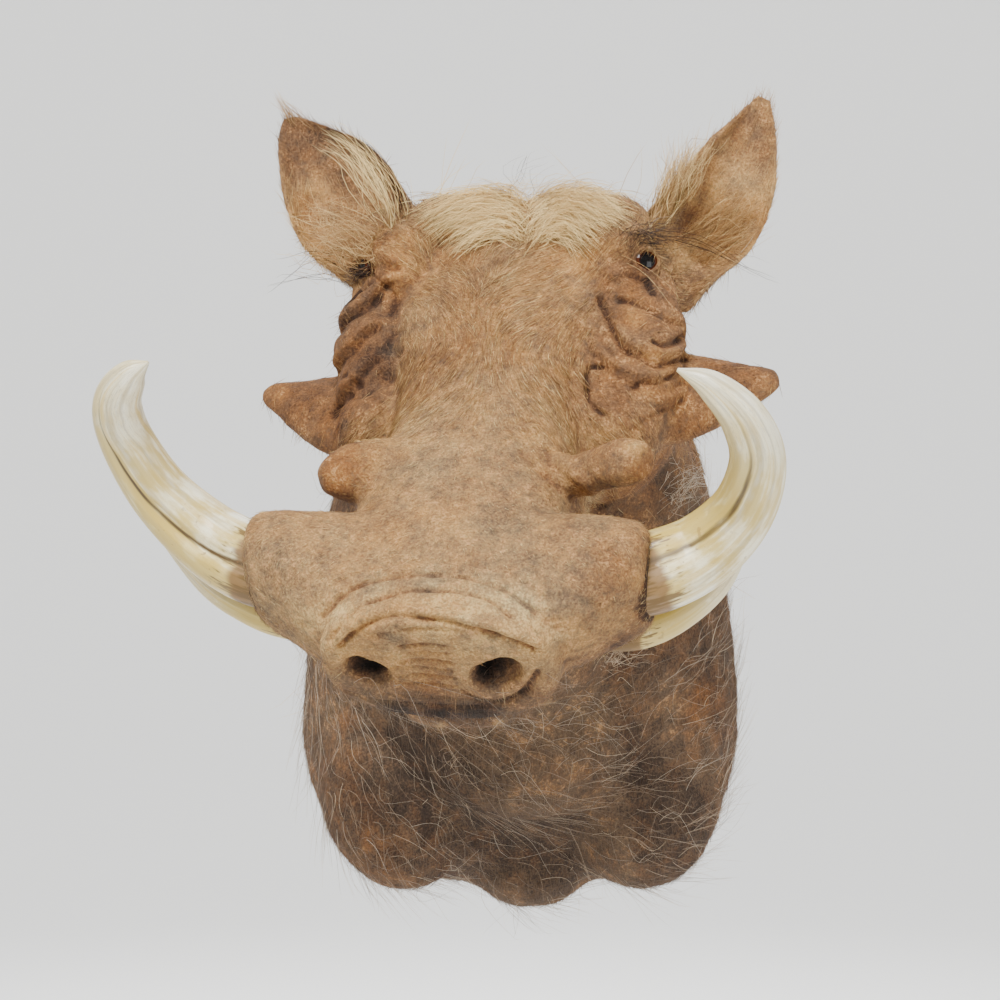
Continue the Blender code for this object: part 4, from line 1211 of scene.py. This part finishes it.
combed = {
    "mane": [
        {"guides": [[(526, 204), (505, 197), (478, 197), (440, 208), (410, 226)],
                    [(527, 212), (505, 204), (478, 204), (445, 213), (414, 233)],
                    [(528, 222), (506, 213), (482, 212), (450, 222), (420, 243)],
                    [(529, 234), (510, 224), (486, 223), (460, 233), (436, 254)],
                    [(528, 248), (514, 240), (496, 240), (476, 250), (456, 268)]],
         "count": 1150, "length": (0.30, 0.80), "steps": 6, "lift": 0.007, "spread": 0.0030,
         "width": 0.00020, "warm": 0.42, "light": 0.94},
        {"guides": [[(529, 206), (548, 197), (580, 192), (608, 201), (632, 213)],
                    [(530, 214), (550, 204), (580, 200), (606, 210), (636, 222)],
                    [(530, 226), (548, 214), (574, 210), (602, 219), (624, 234)],
                    [(530, 240), (544, 227), (564, 224), (588, 233), (608, 250)],
                    [(530, 252), (540, 242), (556, 241), (574, 250), (592, 268)]],
         "count": 1150, "length": (0.30, 0.80), "steps": 6, "lift": 0.007, "spread": 0.0030,
         "width": 0.00020, "warm": 0.42, "light": 0.94},
        {"guides": [[(528, 216), (522, 200), (532, 186), (552, 190)],
                    [(500, 206), (498, 192), (515, 182), (540, 186)],
                    [(560, 200), (575, 186), (600, 190), (625, 206)]],
         "count": 45, "length": (0.5, 1.0), "steps": 6, "lift": 0.002, "spread": 0.0030,
         "width": 0.00012, "warm": 0.30, "light": 0.92}],
    "ear_hair": [
        {"guides": [[(402, 224), (396, 196), (380, 164), (356, 139), (322, 128)],
                    [(396, 229), (386, 203), (368, 174), (348, 151), (318, 134)],
                    [(388, 232), (374, 208), (354, 184), (340, 162), (316, 148)]],
         "count": 75, "length": (0.45, 0.95), "steps": 7, "lift": 0.006, "spread": 0.0026,
         "width": 0.00022, "warm": 0.28, "light": 0.95},
        {"guides": [[(380, 262), (350, 245), (325, 250), (310, 235)],
                    [(385, 240), (355, 225), (325, 222), (302, 214)],
                    [(372, 275), (340, 262), (318, 258), (300, 240)]],
         "count": 260, "length": (0.3, 0.7), "steps": 7, "lift": 0.009, "spread": 0.0060,
         "width": 0.00016, "warm": 0.42, "light": 0.76},
        {"guides": [[(290, 126), (284, 110), (276, 92)], [(300, 128), (288, 112), (275, 95)],
                    [(330, 134), (304, 118), (280, 98)]],
         "count": 50, "length": (0.5, 1.0), "steps": 5, "lift": 0.001, "spread": 0.0012,
         "width": 0.00015, "warm": 0.40, "light": 0.72},
        {"guides": [[(650, 222), (660, 200), (668, 178), (668, 150)],
                    [(662, 214), (674, 190), (684, 168), (690, 140)],
                    [(678, 200), (690, 178), (700, 158), (712, 138)]],
         "count": 360, "length": (0.35, 0.8), "steps": 6, "lift": 0.008, "spread": 0.0036,
         "width": 0.00018, "warm": 0.38, "light": 0.80},
        {"guides": [[(690, 262), (715, 250), (742, 240), (766, 222)],
                    [(684, 250), (708, 236), (736, 222), (762, 206)],
                    [(682, 236), (704, 220), (728, 206), (752, 192)],
                    [(700, 268), (724, 262), (744, 250), (764, 236)]],
         "count": 520, "length": (0.25, 0.6), "steps": 5, "lift": 0.006, "spread": 0.0040,
         "width": 0.00016, "warm": 0.55, "light": 0.74}],
    "side_whiskers": [
        {"guides": [[(655, 498), (676, 486), (700, 474)], [(668, 510), (690, 492), (714, 478)],
                    [(660, 480), (680, 470), (702, 468)]],
         "count": 80, "length": (0.3, 0.9), "steps": 6, "lift": 0.008, "spread": 0.0050,
         "width": 0.00012, "warm": 0.10, "light": 0.97},
        {"guides": [[(598, 660), (612, 650), (640, 648)], [(606, 668), (622, 660), (646, 664)]],
         "count": 60, "length": (0.3, 0.9), "steps": 6, "lift": 0.008, "spread": 0.0040,
         "width": 0.00016, "warm": 0.30, "light": 0.80}],
    "lashes": [
        {"guides": [[(372, 262), (360, 268), (342, 276)], [(374, 274), (361, 279), (346, 285)]],
         "count": 90, "length": (0.5, 1.0), "steps": 5, "lift": 0.006, "spread": 0.0012,
         "width": 0.00028, "warm": 0.35, "light": 0.10},
        {"guides": [[(636, 246), (652, 252), (672, 254)], [(640, 242), (656, 246), (676, 248)],
                    [(645, 252), (658, 258), (672, 258)]],
         "count": 40, "length": (0.4, 0.9), "steps": 5, "lift": 0.005, "spread": 0.0018,
         "width": 0.00018, "warm": 0.35, "light": 0.10},
        {"guides": [[(640, 226), (690, 244), (740, 272), (780, 287)],
                    [(668, 244), (700, 250), (735, 268), (768, 282)]],
         "count": 7, "length": (0.7, 1.0), "steps": 8, "lift": 0.016, "spread": 0.0030,
         "width": 0.00022, "warm": 0.35, "light": 0.16},
        {"guides": [[(352, 262), (320, 256), (290, 262), (262, 268)],
                    [(352, 272), (320, 284), (290, 296), (272, 302)]],
         "count": 8, "length": (0.6, 1.0), "steps": 8, "lift": 0.012, "spread": 0.0040,
         "width": 0.00020, "warm": 0.35, "light": 0.20},
        {"guides": [[(622, 240), (640, 232), (660, 236), (680, 244)],
                    [(628, 252), (640, 238), (662, 240), (684, 246)]],
         "count": 70, "length": (0.3, 0.9), "steps": 6, "lift": 0.007, "spread": 0.0036,
         "width": 0.00014, "warm": 0.35, "light": 0.18},
        {"guides": [[(613, 252), (638, 268), (662, 290), (682, 312)],
                    [(615, 254), (640, 270), (663, 291), (683, 313)]],
         "count": 2, "length": (0.9, 1.0), "steps": 8, "lift": 0.008, "spread": 0.0010,
         "width": 0.00014, "warm": 0.45, "light": 0.88},
        {"guides": [[(401, 222), (396, 196), (384, 170), (364, 149), (342, 134)],
                    [(404, 214), (399, 188), (387, 167), (368, 146), (346, 132)]],
         "count": 60, "length": (0.3, 0.7), "steps": 6, "lift": 0.002, "spread": 0.0009,
         "width": 0.00014, "warm": 0.40, "light": 0.20},
        {"guides": [[(520, 190), (512, 176), (518, 164), (536, 158)],
                    [(540, 192), (536, 176), (548, 166), (566, 162)]],
         "count": 10, "length": (0.5, 1.0), "steps": 6, "lift": 0.001, "spread": 0.0040,
         "width": 0.00010, "warm": 0.40, "light": 0.30}]}


combSeed = 71
guideLook = {"steps": 24, "jump": 0.03, "lostDepth": -0.15}


def guideLine(tree, spots, steps):
    # A picture line laid on the skin; where it leaves the skin it goes on at the last depth
    rows = evenRows(spots, steps)
    depths = []
    for across, down in rows:
        hit = tree.ray_cast(view["place"], sightLine(across, down))[0]
        depths.append(hit.y if hit else None)
    known = [depth for depth in depths if depth is not None] or [guideLook["lostDepth"]]
    last = known[0]
    line = []
    for (across, down), depth in zip(rows, depths):
        last = last if depth is None or abs(depth - last) > guideLook["jump"] else depth
        sight = sightLine(across, down)
        line.append(view["place"] + sight * ((last - view["place"].y) / sight.y))
    return np.array(line)


def combedPaths(tree, group, draw):
    fine = guideLook["steps"]
    guides = np.array([guideLine(tree, spots, fine) for spots in group["guides"]])
    count = group["count"]
    between = draw.random(count) * (len(guides) - 1)
    first = np.minimum(between.astype(int), len(guides) - 2)
    share = (between - first)[:, None, None]
    lines = guides[first] * (1 - share) + guides[first + 1] * share
    low, high = group["length"]
    length = low + (high - low) * draw.random(count)
    begin = (1 - length) * draw.random(count)
    along = np.linspace(0, 1, group["steps"])
    read = (begin[:, None] + length[:, None] * along[None]) * (fine - 1)
    floor = np.minimum(read.astype(int), fine - 2)
    part = (read - floor)[:, :, None]
    rows = np.arange(count)[:, None]
    paths = lines[rows, floor] * (1 - part) + lines[rows, floor + 1] * part
    rise = (np.sin(along * 2.2) * (0.15 + 0.85 * draw.random(count))[:, None] * group["lift"])[:, :, None]
    paths = paths + rise * np.array([0, -0.75, 0.5])
    spread = group["spread"]
    drift = draw.normal(0, spread, (count, 1, 3))
    drift = drift + draw.normal(0, spread, (count, 1, 3)) * along[None, :, None]
    bend = draw.normal(0, spread * 0.8, (count, 1, 3)) * np.sin(along * math.pi * 1.7)[None, :, None]
    return paths + drift + bend


def makeCombed(name, tree, finish, seed):
    # Groups with the same number of steps share one mesh, and those meshes are then joined
    draw = np.random.default_rng(seed)
    made = {}
    for group in combed[name]:
        paths = combedPaths(tree, group, draw)
        count = len(paths)
        widths = variedWidths(group["width"], count, draw)
        made.setdefault(group["steps"], []).append(
            (paths, widths, group["warm"] + draw.normal(0, 0.08, count),
             group["light"] + draw.normal(0, 0.09, count)))
    meshes = []
    for groups in made.values():
        paths, widths, warm, light = (np.concatenate(part) for part in zip(*groups))
        meshes.append(strandMesh(name, heldHair(paths), widths, warm, light, 0.08))
    return addPiece(name, joinedMesh(name, meshes), finish)


def joinedMesh(name, meshes):
    bm = bmesh.new()
    for mesh in meshes:
        bm.from_mesh(mesh)
    joined = bpy.data.meshes.new(name)
    bm.to_mesh(joined)
    bm.free()
    joined.shade_smooth()
    return joined


# Loose hair: longer strands rooted all over a region

loose = {
    "nape_mane": {"count": 2600, "steps": 6, "length": (0.035, 0.075), "width": 0.00022, "lift": 0.35,
                  "fall": 0.5, "curl": 0.006, "warm": 0.40, "light": 0.82, "seed": 51},
    "bristles": {"count": 2600, "steps": 8, "length": (0.018, 0.048), "width": 0.00013, "lift": 0.30,
                 "fall": 0.3, "curl": 0.010, "warm": 0.22, "light": 0.66, "seed": 52},
    "chin_whiskers": {"count": 150, "steps": 6, "length": (0.010, 0.024), "width": 0.00012, "lift": 0.30,
                      "fall": 0.3, "curl": 0.003, "warm": 0.25, "light": 0.84, "seed": 53}}


def makeLoose(name, density, skinData, way, finish):
    look = loose[name]
    spots, slope, draw = scatter(skinData, density, look["count"], look["seed"])
    count, steps = len(spots), look["steps"]
    flow = laidHair(way(spots), spots, slope, draw, looseHabit)
    aim = unit(flow + look["lift"] * (0.4 + draw.random(count))[:, None] * slope)
    low, high = look["length"]
    length = (low + (high - low) * draw.random(count) ** 1.5)[:, None, None]
    along = np.linspace(0, 1, steps)[None, :, None]
    paths = (spots - 0.0005 * slope)[:, None] + length * along * aim[:, None]
    paths = paths + length * look["fall"] * along ** 2 * (0.4 * flow[:, None] + np.array([0, 0, -0.35])
                                                        - 0.5 * look["lift"] * slope[:, None])
    side = unit(np.cross(aim, slope))[:, None]
    wave = draw.normal(0, look["curl"], (count, 1, 1))
    wave = wave * np.sin(along * (2 + 3 * draw.random((count, 1, 1))))
    paths = heldHair(paths + wave * side)
    widths = variedWidths(look["width"], count, draw)
    mesh = strandMesh(name, paths, widths, look["warm"] + draw.normal(0, 0.10, count),
                      look["light"] + draw.normal(0, 0.14, count), 0.08)
    return addPiece(name, mesh, finish)


def chestWay(spots):
    # Long hairs are combed to the right, down on the left side and up on the right
    side = np.clip(spots[:, 0] / 0.10, -1.2, 1.2)
    return np.stack([1 + 0 * side, 0.1 * side, 0.85 * side - 0.15], axis=1)


def napeWay(spots):
    side = np.clip(spots[:, 0] / 0.03, -1, 1)
    return np.stack([0.8 * side, 1.0 + 0 * side, -0.1 + 0 * side], axis=1)


# Tusks

tuskLook = {"sides": 120, "steps": 150, "flatness": 0.92, "facing": Vector((0.10, -0.70, 0.70))}


def makeTusk(name, finish):
    path, radii = tuskPaths[name]
    spots = [(across, -forward, up) for across, forward, up in path]
    sides, steps = tuskLook["sides"], tuskLook["steps"]
    rings = tubeRings(spots, radii, tuskLook["flatness"], sides, steps, tuskGrooves[name],
                      tuskLook["facing"])
    bm = bmesh.new()
    loftRings(bm, rings, headFrame)
    mesh = closedMesh(name, bm)
    # Where each vertex is along and round the tusk, for the ivory's bands and stains
    number = readRows(mesh.attributes["place"].data, "value", 1, np.int32)[:, 0]
    turn = 2 * math.pi * number / sides
    along = (np.arange(len(number)) // sides) / (steps - 1)
    groove = np.zeros(len(number))
    for root, tip, width, share in tuskGrooves[name]:
        apart = (turn - root - (tip - root) * along + math.pi) % (2 * math.pi) - math.pi
        groove = np.maximum(groove, np.exp(-(apart / (0.30 * width)) ** 2) * min(1, share / 0.12))
    facing = np.cos(turn) if "lower" in name else np.cos(turn) - 0.2
    colours = np.stack([along, groove, 0.5 + 0.5 * np.clip(facing, -1, 1),
                        np.ones(len(number))], axis=1).astype(np.float32)
    mesh.attributes.new("wear", "FLOAT_COLOR", "POINT").data.foreach_set("color", colours.ravel())
    wrap = np.stack([np.cos(turn), np.sin(turn), 9 * along], axis=1).astype(np.float32)
    mesh.attributes.new("wrap", "FLOAT_VECTOR", "POINT").data.foreach_set("vector", wrap.ravel())
    return addPiece("ivory_" + name, mesh, finish, [name])


def ivoryFinish(name, rootStart, stain):
    # rootStart is where along the tusk it leaves the lip
    finish = Finish(name)
    along, groove, inner = finish.parts("wear")
    wrap = finish.node("ShaderNodeAttribute", {"attribute_name": "wrap"}, output=1)

    def streaks(scale, stretch, detail=4.0):
        place = finish.node("ShaderNodeMapping", inputs={0: wrap, 3: stretch})
        return finish.node("ShaderNodeTexNoise",
                           inputs={"Vector": place, "Scale": scale, "Detail": detail})

    fibre = streaks(5.0, (1, 1, 0.22))
    fineFibre = streaks(16.0, (1, 1, 0.10))
    blotch = streaks(1.3, (1, 1, 0.8))
    fromRoot = along - rootStart
    apart = finish.node("ShaderNodeSeparateXYZ", inputs={0: wrap})
    upward = Value(finish, apart.socket.node.outputs[1])
    under = (0.25 - upward + (blotch - 0.5) * 0.8).rising(0.0, 0.7) * (1 - along.rising(0.25, 0.60))
    bands = streaks(2.6, (1, 1, 0.05), 2.0)
    base = finish.mix(inner, (0.88, 0.76, 0.38, 1), (1.0, 0.95, 0.74, 1))
    base = finish.mix(along.rising(0.50, 0.85) * 0.6, base, (0.84, 0.80, 0.66, 1))
    base = finish.mix(bands.rising(0.53, 0.60) * 0.55, base, (0.74, 0.52, 0.13, 1))
    base = finish.mix((0.45 - bands).rising(0.0, 0.06) * 0.55, base, (0.46, 0.40, 0.29, 1))
    edge = (inner - 0.86).rising(0.0, 0.10) + (0.22 - inner).rising(0.0, 0.12)
    yellow = (blotch + fibre * 0.7 - 0.44 + stain + edge * 0.16 + under * 0.30).rising(0.30, 0.62)
    yellow = yellow * (1 - along.rising(0.40, 0.85) * 0.6)
    base = finish.mix(yellow * 0.85, base, (0.60, 0.42, 0.075, 1))
    lines = 1 - ((fineFibre - 0.5) * (fineFibre - 0.5) * 2500).rising(0.0, 1.0)
    base = finish.mix(lines * along.rising(0.5, 0.75) * 0.5, base, (0.30, 0.25, 0.18, 1))
    base = finish.mix(lines * (1 - along.rising(0.3, 0.6)) * 0.3, base, (0.45, 0.27, 0.09, 1))
    rim = 1 - (fromRoot + (fibre - 0.5) * 0.05).rising(-0.004, 0.022)
    base = finish.mix(rim * 0.9, base, (0.20, 0.095, 0.025, 1))
    dark = groove * (0.45 + fibre * 0.9) * (1 - along.rising(0.45, 0.95) * 0.65)
    base = finish.mix(dark.rising(0.25, 0.85), base, (0.085, 0.048, 0.014, 1))
    stains = (fibre + fineFibre * 0.6 + under * 0.22 + stain * 0.4 - fromRoot * 1.8).rising(0.80, 0.92)
    base = finish.mix(stains * 0.9, base, (0.15, 0.080, 0.016, 1))
    specks = finish.noise(240, 2).rising(0.66, 0.72) * (1 - along.rising(0.25, 0.5))
    base = finish.mix(specks * 0.6, base, (0.26, 0.13, 0.035, 1))
    finish.shade(BaseColor=base, Roughness=0.30 + fibre * 0.12 + rim * 0.25, CoatWeight=0.12,
                 Normal=finish.bump(fineFibre * 0.4 + fibre, 0.0005, 0.35))
    return finish


# Eyes

def makeEye(name, side, finish):
    bm = bmesh.new()
    bmesh.ops.create_uvsphere(bm, u_segments=48, v_segments=32, radius=eyeRadius,
                              matrix=headFrame @ Matrix.Translation(eyeSpot(side)))
    return addPiece("glass_" + name, closedMesh(name, bm), finish, [name])


def eyeFinish(side, look):
    finish = Finish("dark glass")
    streak = finish.noise(260, 3)
    place = finish.coords()
    apart = finish.node("ShaderNodeVectorMath", {"operation": "DISTANCE"},
                        {0: place, 1: eyeCentre(side) + Vector(look).normalized() * eyeRadius}, 1)
    ring = (apart * 1000 + (streak - 0.5) * 3).rising(4.4, 6.2)
    base = finish.mix(ring, (0.003, 0.002, 0.002, 1), (0.070, 0.015, 0.004, 1))
    finish.shade(BaseColor=base, Roughness=0.04, SpecularIORLevel=0.22)
    return finish


# Backboard and hanger

def plywoodFinish():
    finish = Finish("plywood")
    growth = finish.noise(9, 4, (1, 1, 0.12)) * 14
    rings = growth.maths("FRACT", growth)
    pores = finish.noise(900, 3, (1, 1, 0.04))
    base = finish.mix(rings * 0.5 + pores * 0.35, (0.62, 0.46, 0.27, 1), (0.42, 0.27, 0.14, 1))
    finish.shade(BaseColor=base, Roughness=0.62 + (pores - 0.5) * 0.2,
                 Normal=finish.bump(pores, 0.0003, 0.4))
    return finish


def zincFinish():
    finish = Finish("zinc plate")
    brushed = finish.noise(500, 3, (0.06, 1, 1))
    spangle = finish.noise(90, 2)
    base = finish.mix(spangle, (0.50, 0.50, 0.50, 1), (0.68, 0.68, 0.66, 1))
    finish.shade(BaseColor=base, Metallic=1.0, Roughness=0.28 + brushed * 0.2,
                 Normal=finish.bump(brushed, 0.0001, 0.3))
    return finish


def finishNode(name, finish):
    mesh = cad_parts[name].data
    mesh.materials.clear()
    mesh.materials.append(finish.material)


# Floor and lights

studio = {"level": -0.75, "flat": 3.2, "wall": 5.6, "height": 6.0, "turnSteps": 12, "sides": 72,
          "tone": (0.86, 0.86, 0.85, 1)}


def makeFloor():
    # A pale floor that curves up into a wall all round
    bm = bmesh.new()
    flat, wall, level = studio["flat"], studio["wall"], studio["level"]
    profile = [(0, 0, level), (flat, 0, level)]
    turnRadius = wall - flat
    for step in range(1, studio["turnSteps"] + 1):
        angle = math.pi / 2 * step / studio["turnSteps"]
        profile.append((flat + turnRadius * math.sin(angle), 0, level + turnRadius * (1 - math.cos(angle))))
    profile.append((wall, 0, level + studio["height"]))
    verts = [bm.verts.new(place) for place in profile]
    edges = [bm.edges.new(pair) for pair in zip(verts, verts[1:])]
    bmesh.ops.spin(bm, geom=verts + edges, cent=(0, 0, 0), axis=(0, 0, 1), angle=2 * math.pi,
                   steps=studio["sides"], use_merge=True)
    bmesh.ops.remove_doubles(bm, verts=bm.verts, dist=0.001)
    bmesh.ops.recalc_face_normals(bm, faces=bm.faces)
    mesh = bpy.data.meshes.new("floor")
    bm.to_mesh(mesh)
    bm.free()
    mesh.shade_smooth()
    floor = linked("floor", mesh)
    finish = Finish("floor paint")
    finish.shade(BaseColor=studio["tone"], Roughness=0.9)
    mesh.materials.append(finish.material)


def addLamp(name, place, aim, size, power):
    lamp = bpy.data.lights.new(name, "AREA")
    lamp.shape = "RECTANGLE"
    lamp.size, lamp.size_y = size
    lamp.energy = power
    made = linked(name, lamp)
    made.location = place
    made.rotation_euler = (Vector(aim) - Vector(place)).to_track_quat("-Z", "Y").to_euler()


# Name, place, what it shines at, size, watts
lamps = [
    ("key", (-0.6, -2.2, 2.3), (0, -0.2, 0.1), (1.3, 1.0), 150),
    ("fill", (2.0, -2.0, 0.3), (0, -0.2, 0.1), (1.2, 1.2), 22),
    ("back", (0.3, 2.2, 1.8), (0, 0, 0.1), (2.0, 1.5), 35),
    ("backdrop", (0, 1.2, 0.6), (0, 5.0, 0.6), (2.5, 2.5), 110)]
daylight = 0.60


def makeLights():
    for lamp in lamps:
        addLamp(*lamp)
    world = bpy.data.worlds.new("studio")
    world.use_nodes = True
    world.node_tree.nodes["Background"].inputs[0].default_value = (1, 1, 1, 1)
    world.node_tree.nodes["Background"].inputs[1].default_value = daylight
    bpy.context.scene.world = world


def main():
    makeCamera()
    makeFloor()
    makeLights()
    mesh, strokes = makeSkin()
    tree = surfaceTree(mesh)
    found = patchPlaces(tree)
    paintSkin(mesh, strokes, found)
    addPiece("skin", mesh, hideFinish(), ["hide"])
    places = meshPlaces(mesh)
    skinData = (places, meshNormals(mesh), skinTriangles(mesh))
    onHead = headShare(places)
    front = smoothStep(-0.006, -0.02, places[:, 1])
    hair = hairFinish("hair", coolStops, warmStops)
    paleHair = hairFinish("pale hair", paleStops, warmStops)
    makeCoat("face_coat", coats["face"], faceDensity(places, onHead) * front, skinData, found, hair)
    makeCoat("body_coat", coats["body"], (1 - onHead) * front, skinData, found, hair)
    for seed, name in enumerate(combed, start=combSeed):
        makeCombed(name, tree, paleHair if name == "side_whiskers" else hair, seed)
    nape = smoothStep(0.16, 0.20, places[:, 2]) * smoothStep(0.075, 0.045, np.abs(places[:, 0]))
    nape *= smoothStep(-0.185, -0.165, places[:, 1]) * front * (1 - earShare(places))
    makeLoose("nape_mane", nape, skinData, napeWay, hair)
    throat = smoothStep(-0.10, -0.15, places[:, 1]) * smoothStep(-0.05, 0.0, places[:, 2])
    bristly = (1 - onHead) * front * (1 - nape) * (1 - earShare(places)) * (1 - 0.7 * throat)
    makeLoose("bristles", bristly, skinData, chestWay, paleHair)
    head = headPlaces(places)
    chin = onHead * smoothStep(-0.098, -0.108, head[:, 2]) * smoothStep(0.20, 0.24, head[:, 1])
    makeLoose("chin_whiskers", chin, skinData, hairFlow, paleHair)
    upperIvory = ivoryFinish("upper tusk ivory", 0.15, 0.04)
    lowerIvory = ivoryFinish("lower tusk ivory", 0.22, 0.26)
    for name in tuskPaths:
        makeTusk(name, lowerIvory if "lower" in name else upperIvory)
    for name, eye in eyeLooks.items():
        makeEye(name, eye["side"], eyeFinish(eye["side"], eye["look"]))
    finishNode("backboard", plywoodFinish())
    zinc = zincFinish()
    for name in ("hanger", "hanger_screw_left", "hanger_screw_right"):
        finishNode(name, zinc)


main()
